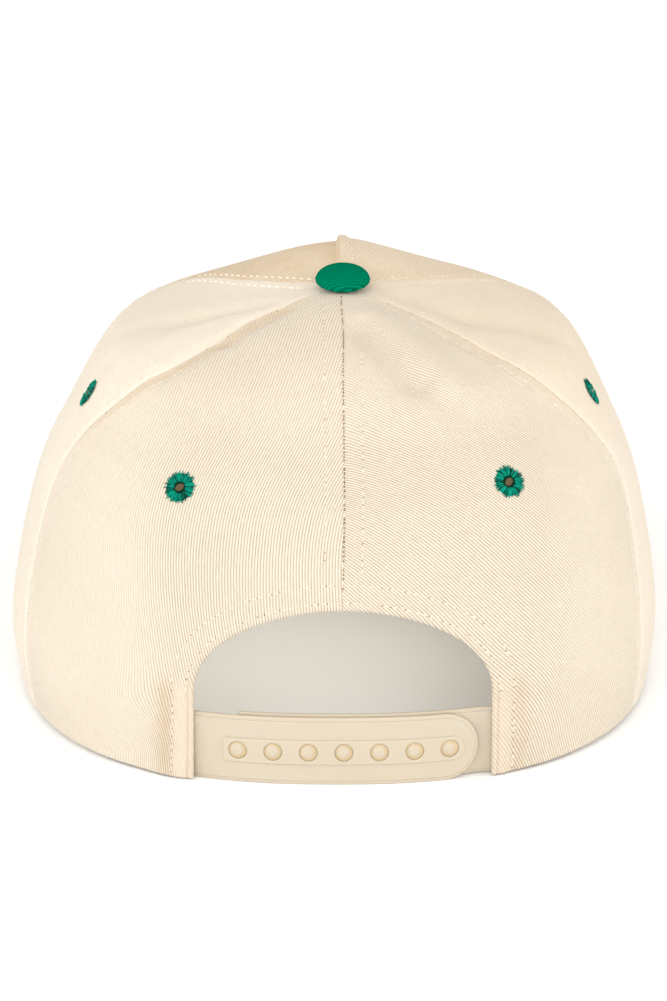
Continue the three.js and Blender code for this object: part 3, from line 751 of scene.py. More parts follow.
def peak_piece():
    """The peak's cloth over its board, with a shallow groove under each row of stitches."""
    root, edge, inside = peak_surface()
    length = np.linalg.norm(edge - root, axis=1)
    at = spaced(length, (0, 0.6, 1.4), PEAK_LIP_STEPS, 46)
    out = at / length[:, None]
    top = root[None] + (edge - root)[None] * out.T[..., None]
    from_edge = (length[:, None] - at).T
    radius = PEAK["thickness"] / 2
    scale = np.minimum(1, length / 14)[None]
    roll = edge_roll(from_edge / np.maximum(scale, 0.05), radius)
    groove = sum(0.16 * bell(from_edge, row, 0.7) for row in PEAK_ROWS) * (from_edge + 4 < length[None])
    lean = np.stack([lean_of(row) for row in top])
    upper = top - lean * (roll + groove)[..., None]
    lower = top - lean * (PEAK["thickness"] - roll - groove)[..., None]
    inner_lean = lean_of(inside)
    upper = np.concatenate([inside[None], upper])
    lower = np.concatenate([(inside - inner_lean * PEAK["thickness"])[None], lower])
    uv = upper[..., :2] @ np.array([[0.5, -0.87], [0.87, 0.5]])
    return sheet_shell("peak_cloth", upper, lower, uv)


def peak_rows():
    """The peak's rows of stitches, on its top and on its underside."""
    root, edge, _ = peak_surface()
    length = np.linalg.norm(edge - root, axis=1)
    paths = []
    for row in PEAK_ROWS:
        keep = np.nonzero(length > row + 5)[0]
        point = root[keep] + (edge - root)[keep] * (1 - row / length[keep])[:, None]
        lean = lean_of(point)
        paths.append((point - lean * 0.1, lean))
        paths.append((point - lean * (PEAK["thickness"] - 0.1), -lean))
    return paths


# Sweatband
def band_depth(points):
    """The band's depth under the crown, more where it passes inside the ends of the strap."""
    over_tab = 1 - smooth_step(np.abs(points[..., 0]), TAB["root_x"] + 3, TAB["root_x"] + 14)
    return BAND["depth"] + np.where(points[..., 1] < 60, over_tab, 0) * (TAB["thickness"] + 0.3)


def round_angle(level):
    """Where the band starts and ends, in degrees round the crown by way of the front."""
    start = angle_at_x(level, BAND["end_x"])
    end = 360 + angle_at_x(level, -BAND["end_x"])
    return start, end


def band_surface(up, share, extra):
    """Points of the band and the way out: up and share run from 0 to 1 over its height and its run."""
    level = BAND["from_level"] + (BAND["to_level"] - BAND["from_level"]) * up + 0 * share
    start, end = round_angle(level)
    angle = start + (end - start) * share
    points = crown_point(level, angle)
    normal = crown_normal(level, angle)
    return points - normal * (band_depth(points) + extra)[..., None], normal


def band_piece():
    """The sweatband's strip, with a shallow groove under each of its two rows of stitches."""
    height, run = BAND["height"], BAND["run"]
    low_steps = (0, 0.15, 0.4, 0.8, 1.4, 2.0, 2.6, 3.4)
    high_steps = (0, 0.15, 0.4, 0.8, 1.4, 3.0, 3.6, 4.2)
    up = (spaced(height, low_steps, high_steps, 16)[0] / height)[:, None]
    ends = np.array([0, 0.0004, 0.001, 0.002])
    share = np.concatenate([ends, np.linspace(0.004, 0.996, 300), (1 - ends)[::-1]])[None]
    grid = share + 0 * up
    edge = np.minimum(np.minimum(up, 1 - up) * height, np.minimum(share, 1 - share) * run)
    roll = edge_roll(edge, BAND["thickness"] / 2)
    ripple = 0.1 * np.sin(grid * 190) * np.sin(grid * 47 + 1)
    groove = 0.14 * (bell(up * height, BAND["low_row"], 0.6) + bell((1 - up) * height, BAND["high_row"], 0.6))
    outer, _ = band_surface(up, grid, roll)
    inner, _ = band_surface(up, grid, BAND["thickness"] - roll - groove - ripple * 0.5)
    return sheet_shell("sweatband_cloth", outer, inner, np.stack([grid * run, up * height + 0 * grid], -1))


def band_rows():
    """The two rows of stitches that show inside the hat."""
    share = np.linspace(0.006, 0.994, 420)
    paths = []
    for up in (BAND["low_row"] / BAND["height"], 1 - BAND["high_row"] / BAND["height"]):
        point, normal = band_surface(up, share, BAND["thickness"] - 0.08)
        paths.append((point, -normal))
    return paths


# Button
BUTTON_WEAVE = {"x": -1.5, "y": 6.0, "fan_y": 9.0, "fan": 8}


def button_piece():
    """A covered dome, a little pleated where the cloth turns under its rim."""
    rim_z = BUTTON["low"] + BUTTON["rim"]
    tuck = np.radians(np.linspace(-BUTTON["tuck"], 0, 9))
    turns = np.concatenate([tuck, np.radians(np.linspace(0, 90, 34))[1:-1]])
    around = np.linspace(0, 2 * math.pi, 121)[:-1]
    low = turns < 0
    radius = BUTTON["radius"] * np.where(low, np.cos(turns * 0.9), np.cos(turns) ** 0.92)
    tuck_height = BUTTON["rim"] / math.sin(math.radians(BUTTON["tuck"]))
    height = rim_z + np.where(low, tuck_height, BUTTON["dome"]) * np.sin(turns)
    pleat = 0.07 * np.sin(around * 17) + 0.05 * np.sin(around * 29 + 1)
    edge = bell(np.degrees(turns), -12, 26)
    ring = radius[:, None] + edge[:, None] * pleat[None] + 0.05 * np.sin(3 * around)[None]
    points = np.stack([ring * np.cos(around), ring * np.sin(around), height[:, None] + 0 * ring], -1)
    count = len(around)
    flat = points.reshape(-1, 3)
    ids = np.arange(len(flat)).reshape(points.shape[:2])
    after = np.roll(ids, -1, axis=1)
    faces = np.stack([ids[:-1], after[:-1], after[1:], ids[1:]], -1).reshape(-1, 4).tolist()
    flat = np.vstack([flat, [0, 0, flat[:count, 2].mean()], [0, 0, rim_z + BUTTON["dome"]]])
    for k in range(count):
        faces.append([len(flat) - 2, int(after[0, k]), int(ids[0, k])])
        faces.append([len(flat) - 1, int(ids[-1, k]), int(after[-1, k])])
    pitch = math.radians(BUTTON["pitch"])
    c, s = math.cos(pitch), math.sin(pitch)
    tilt = np.array([[1, 0, 0], [0, c, -s], [0, s, c]])
    mesh = bpy.data.meshes.new("button_cloth")
    mesh.from_pydata(to_frame(flat @ tilt.T + crown_point(TOP_LEVEL, 0.0)).tolist(), [], faces)
    mesh.polygons.foreach_set("use_smooth", [True] * len(mesh.polygons))
    x, y, z = flat.T
    arc = np.hypot(x - BUTTON_WEAVE["x"], y - BUTTON_WEAVE["y"]) + 0.5 * np.maximum(rim_z - z, 0)
    fan = BUTTON_WEAVE["fan"] * np.arctan2(x - BUTTON_WEAVE["x"], BUTTON_WEAVE["fan_y"] - y)
    add_cloth_uv(mesh, np.stack([arc, fan], -1))
    clean(mesh)
    return add_object("button_cloth", mesh)


# Strap
SLAB_CUTS = {"x_step": 1.5, "x_shift": 0.37, "z_step": 3.1}


def rounded_outline(corners):
    """A closed outline through corners of (x, z, radius), each rounded by its radius."""
    result = []
    places = np.array([corner[:2] for corner in corners], float)
    for k, corner in enumerate(corners):
        to_last = places[k - 1] - places[k]
        to_next = places[(k + 1) % len(corners)] - places[k]
        to_last /= np.linalg.norm(to_last)
        to_next /= np.linalg.norm(to_next)
        half = math.acos(to_last @ to_next) / 2
        middle = (to_last + to_next) / np.linalg.norm(to_last + to_next)
        centre = places[k] + middle * corner[2] / math.sin(half)
        start = places[k] + to_last * corner[2] / math.tan(half) - centre
        end = places[k] + to_next * corner[2] / math.tan(half) - centre
        sweep = math.pi - 2 * half
        t = np.linspace(0, 1, 3 + int(sweep * corner[2] * 1.6))[:, None]
        result.append(centre + (np.sin((1 - t) * sweep) * start + np.sin(t * sweep) * end) / math.sin(sweep))
    return np.vstack(result)


def hole_outline(x, z, radius, count=40):
    turn = np.linspace(0, 2 * math.pi, count, endpoint=False)
    return np.stack([x + radius * np.cos(turn), z + radius * np.sin(turn)], -1)


def flat_slab(name, outlines, thickness, bevel, top=0):
    """A flat moulded slab with rounded edges as a bmesh: x and z in its plane, its top face at y = top."""
    curve = bpy.data.curves.new(name, "CURVE")
    curve.dimensions = "2D"
    curve.fill_mode = "BOTH"
    curve.extrude = thickness / 2 - bevel
    curve.bevel_depth = bevel
    curve.bevel_resolution = 3
    curve.offset = -bevel
    for outline in outlines:
        spline = curve.splines.new("POLY")
        spline.points.add(len(outline) - 1)
        spline.points.foreach_set("co", np.pad(outline, ((0, 0), (0, 2))).ravel())
        spline.use_cyclic_u = True
    holder = bpy.data.objects.new(name, curve)
    bpy.context.scene.collection.objects.link(holder)
    bpy.context.view_layer.update()
    mesh = bpy.data.meshes.new_from_object(holder.evaluated_get(bpy.context.evaluated_depsgraph_get()))
    work = bmesh.new()
    work.from_mesh(mesh)
    bmesh.ops.remove_doubles(work, verts=work.verts[:], dist=1e-4)
    low = min(v.co.x for v in work.verts)
    high = max(v.co.x for v in work.verts)
    for x in np.arange(math.ceil(low) + SLAB_CUTS["x_shift"], high, SLAB_CUTS["x_step"]):
        geometry = work.verts[:] + work.edges[:] + work.faces[:]
        bmesh.ops.bisect_plane(work, geom=geometry, plane_co=(x, 0, 0), plane_no=(1, 0, 0))
    for z in np.arange(SLAB_CUTS["z_step"], 20, SLAB_CUTS["z_step"]):
        geometry = work.verts[:] + work.edges[:] + work.faces[:]
        bmesh.ops.bisect_plane(work, geom=geometry, plane_co=(0, z, 0), plane_no=(0, 1, 0))
    bmesh.ops.recalc_face_normals(work, faces=work.faces[:])
    for edge in work.edges:
        lies_flat = [abs(face.normal.z) > 0.999 for face in edge.link_faces]
        edge.smooth = len(lies_flat) == 2 and lies_flat[0] == lies_flat[1]
    for v in work.verts:
        v.co.z += top - thickness / 2
    bpy.data.objects.remove(holder)
    bpy.data.curves.remove(curve)
    bpy.data.meshes.remove(mesh)
    return work


def bend_slabs(name, slabs, depth_at):
    """Joins flat slabs and bends them round the hem, that deep under the crown."""
    joined = bmesh.new()
    for work in slabs:
        part = bpy.data.meshes.new(name)
        work.to_mesh(part)
        work.free()
        joined.from_mesh(part)
        bpy.data.meshes.remove(part)
    for face in joined.faces:
        face.smooth = True
    mesh = bpy.data.meshes.new(name)
    joined.to_mesh(mesh)
    joined.free()
    flat = np.empty(len(mesh.vertices) * 3)
    mesh.vertices.foreach_get("co", flat)
    flat = flat.reshape(-1, 3)
    depth = depth_at(flat[:, 0]) - flat[:, 2]
    level, angle = locate(flat[:, 0], flat[:, 1], depth)
    mesh.vertices.foreach_set("co", to_frame(under(level, angle, depth)).ravel())
    mesh.update()
    return add_object(name, mesh)


def strap_bulge(x):
    """How far the strap bows outwards in the open arch."""
    return TAB["bulge"] * np.maximum(0, 1 - (x / TAB["bulge_reach"]) ** 2)


def peg_x():
    """Where the pegs and the holes lie along the strap."""
    return PEGS["first_x"] + PEGS["pitch"] * np.arange(PEGS["count"])


def tab_outline(left, right, low, high, corner, round_end):
    """An outline with small corners on its left and a round end on its right."""
    small = [(left, high, corner), (left, low, corner)]
    return rounded_outline([*small, (right, low, round_end), (right, high, round_end)])


def hole_tab_piece():
    """The outer tab: a slab with a raised face and a raised bar, and the holes through all three."""
    low, high = TAB["low_z"], TAB["low_z"] + TAB["width"]
    left, right = -TAB["root_x"], HOLE_TAB["end_x"]
    middle, half_bar, border = HOLE_TAB["hole_height"], HOLE_BAR["height"] / 2, FACE["border"]
    round_end = TAB["width"] / 2 - ROUND_END_TRIM
    holes = [hole_outline(x, middle, HOLE_TAB["hole_radius"]) for x in peg_x()]
    outline = tab_outline(left, right, low, high, TAB["corner"], round_end)
    inner = tab_outline(left, right - border, low + border, high - border, TAB["corner"], round_end - border)
    bar = tab_outline(
        HOLE_BAR["from_x"], HOLE_BAR["to_x"], middle - half_bar, middle + half_bar,
        HOLE_BAR["corner"], half_bar - ROUND_END_TRIM,
    )
    bar_thickness = HOLE_BAR["rise"] + HOLE_BAR["sunk"]
    slabs = [
        flat_slab("tab", [outline, *holes], TAB["thickness"], TAB["bevel"]),
        flat_slab("face", [inner, *holes], FACE["thickness"], FACE["bevel"], FACE["rise"]),
        flat_slab("bar", [bar, *holes], bar_thickness, HOLE_BAR["bevel"], HOLE_BAR["rise"]),
    ]
    return bend_slabs("strap_hole_tab_moulded", slabs, lambda x: TAB["depth"] - strap_bulge(x))


def peg_tab_depth(x):
    """The inner tab passes under the outer one and comes up beside its end."""
    beside = smooth_step(x, PEG_TAB["bend_from_x"], PEG_TAB["bend_to_x"])
    return PEG_TAB["depth"] + (TAB["depth"] - PEG_TAB["depth"]) * beside - strap_bulge(x)


def peg_tab_piece():
    """The inner tab, blunt at its hidden end, with a raised face where it shows."""
    low, high = PEG_TAB["low_z"], PEG_TAB["low_z"] + TAB["width"]
    low_end, high_end = ((low + high + way * PEG_TAB["end_height"]) / 2 for way in (-1, 1))
    right, corner_x, end_x = TAB["root_x"], PEG_TAB["corner_x"], PEG_TAB["end_x"]
    outline = rounded_outline([
        (right, high, TAB["corner"]),
        (corner_x, high, PEG_TAB["corner"]),
        (end_x, high_end, PEG_TAB["end_corner"]),
        (end_x, low_end, PEG_TAB["end_corner"]),
        (corner_x, low, PEG_TAB["corner"]),
        (right, low, TAB["corner"]),
    ])
    left, low, high = PEG_TAB["face_x"], low + FACE["border"], high - FACE["border"]
    corners = ((right, high), (left, high), (left, low), (right, low))
    inner = rounded_outline([(x, z, TAB["corner"]) for x, z in corners])
    slabs = [
        flat_slab("tab", [outline], TAB["thickness"], TAB["bevel"]),
        flat_slab("face", [inner], FACE["thickness"], FACE["bevel"], FACE["rise"]),
    ]
    return bend_slabs("strap_peg_tab_moulded", slabs, peg_tab_depth)


# Geometry Nodes
class Tree:
    """A node tree with short ways to add, join and name its nodes."""

    def __init__(self, tree):
        self.tree = tree

    def add(self, kind, settings=(), **inputs):
        node = self.tree.nodes.new(kind)
        for key, value in dict(settings).items():
            setattr(node, key, value)
        for key, value in inputs.items():
            self.feed(node, key.replace("_", " "), value)
        return node

    def feed(self, node, key, value):
        socket = node.inputs[int(key[1:])] if key[:1] == "i" and key[1:].isdigit() else node.inputs[key]
        if isinstance(value, bpy.types.NodeSocket):
            self.tree.links.new(value, socket)
        elif isinstance(value, bpy.types.Node):
            self.tree.links.new(value.outputs[0], socket)
        else:
            socket.default_value = value

    def operate(self, kind, operation, values):
        inputs = {f"i{k}": value for k, value in enumerate(values)}
        return self.add(kind, {"operation": operation}, **inputs).outputs[0]

    def maths(self, operation, *values):
        return self.operate("ShaderNodeMath", operation, values)

    def vector(self, operation, *values):
        return self.operate("ShaderNodeVectorMath", operation, values)

    def within(self, value, low, high):
        return self.maths("MINIMUM", self.maths("MAXIMUM", value, low), high)

    def named(self, label, kind="FLOAT_VECTOR"):
        node = self.add("GeometryNodeInputNamedAttribute", {"data_type": kind}, Name=label)
        return node.outputs["Attribute"]


def new_tree(name, inputs):
    tree = bpy.data.node_groups.new(name, "GeometryNodeTree")
    tree.interface.new_socket("Geometry", in_out="INPUT", socket_type="NodeSocketGeometry")
    for label, kind in inputs:
        tree.interface.new_socket(label, in_out="INPUT", socket_type=f"NodeSocket{kind}")
    tree.interface.new_socket("Geometry", in_out="OUTPUT", socket_type="NodeSocketGeometry")
    made = Tree(tree)
    start = made.add("NodeGroupInput")
    return made, start


def finish_tree(made, instances, material):
    real = made.add("GeometryNodeRealizeInstances", Geometry=instances)
    smooth = made.add("GeometryNodeSetShadeSmooth", Geometry=real)
    painted = made.add("GeometryNodeSetMaterial", Geometry=smooth, Material=material)
    end = made.add("NodeGroupOutput")
    made.tree.links.new(painted.outputs[0], end.inputs[0])
    return made.tree


def shaded(made, instances, shade):
    """Gives each thread its own shade, from 0 (dark) to 1 (light)."""
    settings = {"data_type": "FLOAT", "domain": "INSTANCE"}
    inputs = {"Geometry": instances, "Name": "shade", "Value": shade}
    return made.add("GeometryNodeStoreNamedAttribute", settings, **inputs).outputs[0]


def chance(made, seed, low, high, offset):
    """A random value for each instance, between low and high."""
    node = made.add("FunctionNodeRandomValue", {"data_type": "FLOAT"}, i2=low, i3=high)
    made.feed(node, "Seed", made.maths("ADD", seed, offset))
    return node.outputs[1]


def stitch_tree():
    """A small bowed thread on each point, which dips into the cloth at its ends."""
    sizes = [(label, "Float") for label in ("Length", "Width", "Height", "Wander")]
    made, start = new_tree("stitch rows", [*sizes, ("Seed", "Int"), ("Material", "Material")])
    value = start.outputs
    thread = made.add("GeometryNodeMeshCylinder", Vertices=6, Side_Segments=4, Radius=0.5, Depth=1.0)
    place = made.add("ShaderNodeSeparateXYZ", Vector=made.add("GeometryNodeInputPosition").outputs[0])
    along = made.maths("ABSOLUTE", made.maths("MULTIPLY", place.outputs["Z"], 2.0))
    slim = made.maths("SUBTRACT", 1.0, made.maths("MULTIPLY", made.maths("POWER", along, 3.0), 0.62))
    drop = made.maths("MULTIPLY", made.maths("POWER", along, 2.5), 0.75)
    x = made.maths("SUBTRACT", made.maths("MULTIPLY", place.outputs["X"], slim), drop)
    y = made.maths("MULTIPLY", place.outputs["Y"], slim)
    bowed = made.add("ShaderNodeCombineXYZ", X=x, Y=y, Z=place.outputs["Z"])
    thread = made.add("GeometryNodeSetPosition", Geometry=thread.outputs["Mesh"], Position=bowed)
    turn = made.add("FunctionNodeAxesToRotation", {"primary_axis": "Z", "secondary_axis": "X"})
    made.feed(turn, "Primary Axis", made.named("along"))
    made.feed(turn, "Secondary Axis", made.named("out"))

    def pick(low, high, offset):
        return chance(made, value["Seed"], low, high, offset)

    sway = made.maths("MULTIPLY", pick(-1.0, 1.0, 1.0), value["Wander"])
    swing = made.add("ShaderNodeCombineXYZ", X=sway, Y=made.maths("MULTIPLY", pick(-1.0, 1.0, 2.0), 0.02))
    swing = made.add("FunctionNodeEulerToRotation", Euler=swing)
    turned = made.add("FunctionNodeRotateRotation", {"rotation_space": "LOCAL"}, Rotation=turn, i1=swing)
    long_ = made.maths("MULTIPLY", value["Length"], pick(0.78, 1.12, 3.0))
    wide = made.maths("MULTIPLY", value["Width"], pick(0.8, 1.2, 4.0))
    size = made.add("ShaderNodeCombineXYZ", X=value["Height"], Y=wide, Z=long_)
    spread = {"Points": value["Geometry"], "Instance": thread, "Rotation": turned, "Scale": size}
    rows = made.add("GeometryNodeInstanceOnPoints", **spread)
    return finish_tree(made, shaded(made, rows, pick(0.0, 1.0, 5.0)), value["Material"])


def eyelet_tree():
    """Threads sewn close together over a ring, ragged at its outer edge."""
    sizes = [(label, "Float") for label in ("Inner", "Outer", "Height", "Width")]
    inputs = [("Threads", "Int"), *sizes, ("Seed", "Int"), ("Material", "Material")]
    made, start = new_tree("eyelet threads", inputs)
    value = start.outputs
    line = made.add("GeometryNodeMeshLine", Count=value["Threads"], Offset=(0, 0, 0))
    arc = made.add("GeometryNodeMeshCylinder", Vertices=6, Side_Segments=7, Radius=0.5, Depth=1.0)
    place = made.add("ShaderNodeSeparateXYZ", Vector=made.add("GeometryNodeInputPosition").outputs[0])
    share = made.maths("ADD", place.outputs["Z"], 0.5)
    reach = made.maths("SUBTRACT", value["Outer"], value["Inner"])
    swell = made.maths("SINE", made.maths("MULTIPLY", made.maths("POWER", share, 0.62), math.pi))
    thick = made.maths("MULTIPLY", value["Width"], made.maths("MULTIPLY_ADD", swell, 0.35, 0.8))
    centre = made.maths("ADD", value["Inner"], made.maths("MULTIPLY", reach, share))
    rise = made.maths("MULTIPLY", swell, value["Height"])
    root = made.maths("POWER", made.maths("SUBTRACT", 1.0, share), 5.0)
    sink = made.maths("MULTIPLY", root, value["Height"])
    rise = made.maths("SUBTRACT", rise, made.maths("MULTIPLY", sink, 1.4))
    z = made.maths("ADD", rise, made.maths("MULTIPLY", place.outputs["X"], thick))
    y = made.maths("MULTIPLY", place.outputs["Y"], thick)
    bent = made.add("ShaderNodeCombineXYZ", X=centre, Y=y, Z=z)
    thread = made.add("GeometryNodeSetPosition", Geometry=arc.outputs["Mesh"], Position=bent)

    def pick(low, high, offset):
        return chance(made, value["Seed"], low, high, offset)

    index = made.add("GeometryNodeInputIndex")
    step = made.maths("DIVIDE", 2 * math.pi, value["Threads"])
    angle = made.maths("MULTIPLY", made.maths("ADD", index, pick(-0.45, 0.45, 1.0)), step)
    tip = made.maths("MULTIPLY", pick(-1.0, 1.0, 2.0), 0.05)
    turn = made.add("ShaderNodeCombineXYZ", X=0.0, Y=tip, Z=angle)
    long_, wide, tall = pick(0.9, 1.1, 3.0), pick(0.85, 1.2, 4.0), pick(0.86, 1.12, 5.0)
    ragged = made.add("ShaderNodeCombineXYZ", X=long_, Y=wide, Z=tall)
    # A second, flat layer of wide threads under the ring, at shade 0 so it takes the near-black green:
    # painted shade in the gaps between the threads
    flat = made.add("ShaderNodeCombineXYZ", X=0.87, Y=4.0, Z=0.3)
    both = made.add("GeometryNodeJoinGeometry")
    spread = {"Points": line, "Instance": thread, "Rotation": turn}
    for size, shade in ((ragged, pick(0.05, 1.25, 6.0)), (flat, 0.0)):
        layer = made.add("GeometryNodeInstanceOnPoints", **spread, Scale=size)
        made.tree.links.new(shaded(made, layer, shade), both.inputs[0])
    return finish_tree(made, both.outputs[0], value["Material"])


def peg_tree():
    """Round moulded pegs with chamfered heads."""
    sizes = [(label, "Float") for label in ("Radius", "Height", "Chamfer")]
    made, start = new_tree("strap pegs", [*sizes, ("Material", "Material")])
    value = start.outputs
    sizes = {"Vertices": 32, "Side_Segments": 2, "Radius": value["Radius"], "Depth": value["Height"]}
    ends = made.add("GeometryNodeMeshCylinder", **sizes)
    shape = ends
    for rise, narrow in ((1.0, 0.86), (0.4, 0.8)):
        offset = made.maths("MULTIPLY", value["Chamfer"], rise)
        inputs = {"Mesh": shape.outputs[0], "Selection": ends.outputs["Top"], "Offset_Scale": offset}
        ends = made.add("GeometryNodeExtrudeMesh", **inputs)
        inputs = {"Geometry": ends.outputs[0], "Selection": ends.outputs["Top"], "Scale": narrow}
        shape = made.add("GeometryNodeScaleElements", **inputs)
    turn = made.add("FunctionNodeAlignRotationToVector", {"axis": "Z"})
    made.feed(turn, "Vector", made.named("out"))
    pegs = made.add("GeometryNodeInstanceOnPoints", Points=value["Geometry"], Instance=shape, Rotation=turn)
    return finish_tree(made, pegs.outputs[0], value["Material"])


def grown(name, paths, tree, values, sharp=60):
    """A plain mesh piece made by a tree from paths of (points, ways out) in millimetres."""
    mesh = bpy.data.meshes.new(name)
    points = [point for path, _ in paths for point in to_frame(path).tolist()]
    mesh.from_pydata(points, [], [])
    ways = {
        "out": [out for _, out in paths],
        "along": [np.gradient(path, axis=0) for path, _ in paths if len(path) > 1],
    }
    for label, parts in ways.items():
        if parts:
            layer = mesh.attributes.new(label, "FLOAT_VECTOR", "POINT")
            layer.data.foreach_set("vector", np.concatenate(parts).ravel())
    holder = add_object(f"{name}_paths", mesh)
    modifier = holder.modifiers.new(name, "NODES")
    modifier.node_group = tree
    for socket in tree.interface.items_tree:
        if socket.item_type == "SOCKET" and socket.in_out == "INPUT" and socket.name in values:
            modifier[socket.identifier] = values[socket.name]
    bpy.context.view_layer.update()
    made = bpy.data.meshes.new_from_object(holder.evaluated_get(bpy.context.evaluated_depsgraph_get()))
    bpy.data.objects.remove(holder)
    made.name = name
    made.polygons.foreach_set("use_smooth", [True] * len(made.polygons))
    made.set_sharp_from_angle(angle=math.radians(sharp))
    return add_object(name, made)


# Stitch paths
def sewn(paths, pitch, shift, kept=1.0, seed=5):
    """The paths cut to unevenly spaced points, one for each stitch or needle hole."""
    rng = np.random.default_rng(seed)
    result = []
    for path, out in paths:
        run = run_along(path)
        at = (np.arange(int(run[-1] / pitch)) + shift) * pitch
        at = at[rng.random(len(at)) < kept]
        at = at + rng.uniform(-0.09, 0.09, len(at)) * pitch
        result.append((points_at(at, run, path), points_at(at, run, out)))
    return result


def seam_row(seam, side, panel, low, high):
    """A row of stitches that keeps its distance from a seam."""
    offset = SEAM_ROWS[seam, panel]
    level = np.linspace(low, high, 260)
    start, end = PANEL_SEAMS[panel]
    beside = 1 if seam == start else -1
    low_round = from_table(ROUND, level, seam_angle(start, level, side))
    high_round = from_table(ROUND, level, seam_angle(end, level, side))
    level = level[high_round - low_round > 2 * offset + 1.5]
    base = from_table(ROUND, level, seam_angle(seam, level, side))
    angle = angle_at_distance(level, base + beside * offset)
    return cloth_surface(level, angle, side, panel, 0.02)


def arch_row(offset, side, low, high):
    """A row of stitches that keeps its distance from the arch's edge."""
    x, z = arch_outline(side)
    flat = np.stack([x, z], -1)
    along = np.gradient(flat, axis=0)
    along /= np.linalg.norm(along, axis=1, keepdims=True)
    out = np.stack([-along[:, 1], along[:, 0]], -1) * side
    moved = flat + out * (offset * arch_row_share(z))[:, None]
    keep = (moved[:, 1] > low) & (moved[:, 1] < high)
    level, angle = locate(moved[keep, 0], moved[keep, 1])
    angle = side * angle
    on_panel = angle >= seam_angle("back", level, side)
    return cloth_surface(level[on_panel], angle[on_panel], side, "back", 0.02)


# Finishes
def new_material(name):
    material = bpy.data.materials.new(name)
    material.use_nodes = True
    material.node_tree.nodes.clear()
    return material, Tree(material.node_tree)


def finish_material(made, colour, height, distance, settings):
    shader = made.add("ShaderNodeBsdfPrincipled")
    for key, value in settings.items():
        made.feed(shader, key, value)
    made.feed(shader, "Base Color", colour)
    bump = made.add("ShaderNodeBump", Strength=1.0, Distance=distance, Height=height)
    made.feed(shader, "Normal", bump)
    made.add("ShaderNodeOutputMaterial", Surface=shader)
    return shader


def noise(made, vector, scale, detail=2.0, rough=0.5):
    node = made.add("ShaderNodeTexNoise", Vector=vector, Scale=scale, Detail=detail, Roughness=rough)
    return node.outputs["Fac"]


def mixed(made, factor, first, second, kind="MIX"):
    node = made.add("ShaderNodeMix", {"data_type": "RGBA", "blend_type": kind})
    made.feed(node, "Factor", factor)
    made.feed(node, "i6", first)
    made.feed(node, "i7", second)
    return node.outputs[2]


def turned_wave(made, value, pitch):
    wave = made.maths("COSINE", made.maths("MULTIPLY", value, 2 * math.pi / pitch))
    return made.maths("MULTIPLY_ADD", wave, 0.5, 0.5)


WHITE = (1, 1, 1, 1)
FLAT_WEAVE = (0.66, 0.66, 0.66, 1)
PAINTED_SHADE_TAN = (0.78, 0.65, 0.48, 1)


def twill(name, light, dark, pitch, depth, settings, contrast=1.0):
    """Twill cloth: slanted ridges made of short floats, with uneven yarns. UV is in millimetres."""
    material, made = new_material(name)
    uv = made.add("ShaderNodeUVMap", {"uv_map": "cloth"}).outputs[0]
    place = made.add("ShaderNodeSeparateXYZ", Vector=uv)
    drift = made.maths("MULTIPLY_ADD", noise(made, uv, 0.05), 0.5, -0.25)
    wobble = made.maths("MULTIPLY_ADD", noise(made, uv, 0.9), 0.2, -0.1)
    across = made.maths("ADD", place.outputs["X"], made.maths("ADD", drift, wobble))
    ridge = made.maths("POWER", turned_wave(made, across, pitch), 0.62)
    slant = made.maths("MULTIPLY_ADD", across, 0.55, place.outputs["Y"])
    floats = turned_wave(made, slant, pitch * 0.95)
    yarn_x = made.maths("MULTIPLY", across, 2.2 / pitch)
    stretch = made.add("ShaderNodeCombineXYZ", X=yarn_x, Y=made.maths("MULTIPLY", place.outputs["Y"], 0.3))
    yarn = noise(made, stretch.outputs[0], 1.0, 3.0)
    fibre = noise(made, uv, 8.0, 3.0, 0.65)
    body = made.maths("MULTIPLY", ridge, made.maths("MULTIPLY_ADD", floats, 0.22, 0.78))
    # Where the flattening mask is high the weave goes flat and lighter: rubbing along the seams and the
    # arch's legs, painted glare on the far sides
    rubbing_and_glare = made.add("ShaderNodeAttribute", {"attribute_name": "rubbing_and_glare"}).outputs["Fac"]
    clear = made.maths("SUBTRACT", made.maths("MULTIPLY_ADD", noise(made, uv, 0.08), 0.3, 0.9), rubbing_and_glare)
    body = mixed(made, made.within(clear, 0.05, 1.0), FLAT_WEAVE, body)
    fuzz = made.maths("MULTIPLY_ADD", fibre, 0.35, made.maths("MULTIPLY", yarn, 0.3))
    height = made.maths("ADD", body, fuzz)
    # The weave's low places take the dark colour: painted shade in its grooves, on top of the bump
    tone = made.maths("MULTIPLY_ADD", body, contrast, 1 - contrast)
    tone = made.maths("ADD", tone, made.maths("MULTIPLY_ADD", yarn, 0.5, -0.22))
    tone = made.maths("ADD", tone, made.maths("MULTIPLY_ADD", fibre, 0.3, -0.12))
    colour = mixed(made, made.within(tone, 0.0, 1.0), dark, light)
    cloud = made.maths("MULTIPLY_ADD", noise(made, uv, 0.035, 3.0), 0.1, 0.95)
    grey = made.add("ShaderNodeCombineColor", Red=cloud, Green=cloud, Blue=made.maths("POWER", cloud, 1.3))
    colour = mixed(made, 1.0, colour, grey.outputs[0], "MULTIPLY")
    # Painted shade: the shade attribute multiplies the cloth towards tan
    shade = made.add("ShaderNodeAttribute", {"attribute_name": "shade"}).outputs["Fac"]
    shade = made.maths("MULTIPLY", shade, made.maths("MULTIPLY_ADD", noise(made, uv, 0.12, 3.0), 0.8, 0.6))
    colour = mixed(made, 1.0, colour, mixed(made, shade, WHITE, PAINTED_SHADE_TAN), "MULTIPLY")
    finish_material(made, colour, height, depth / 1000, settings)
    return material


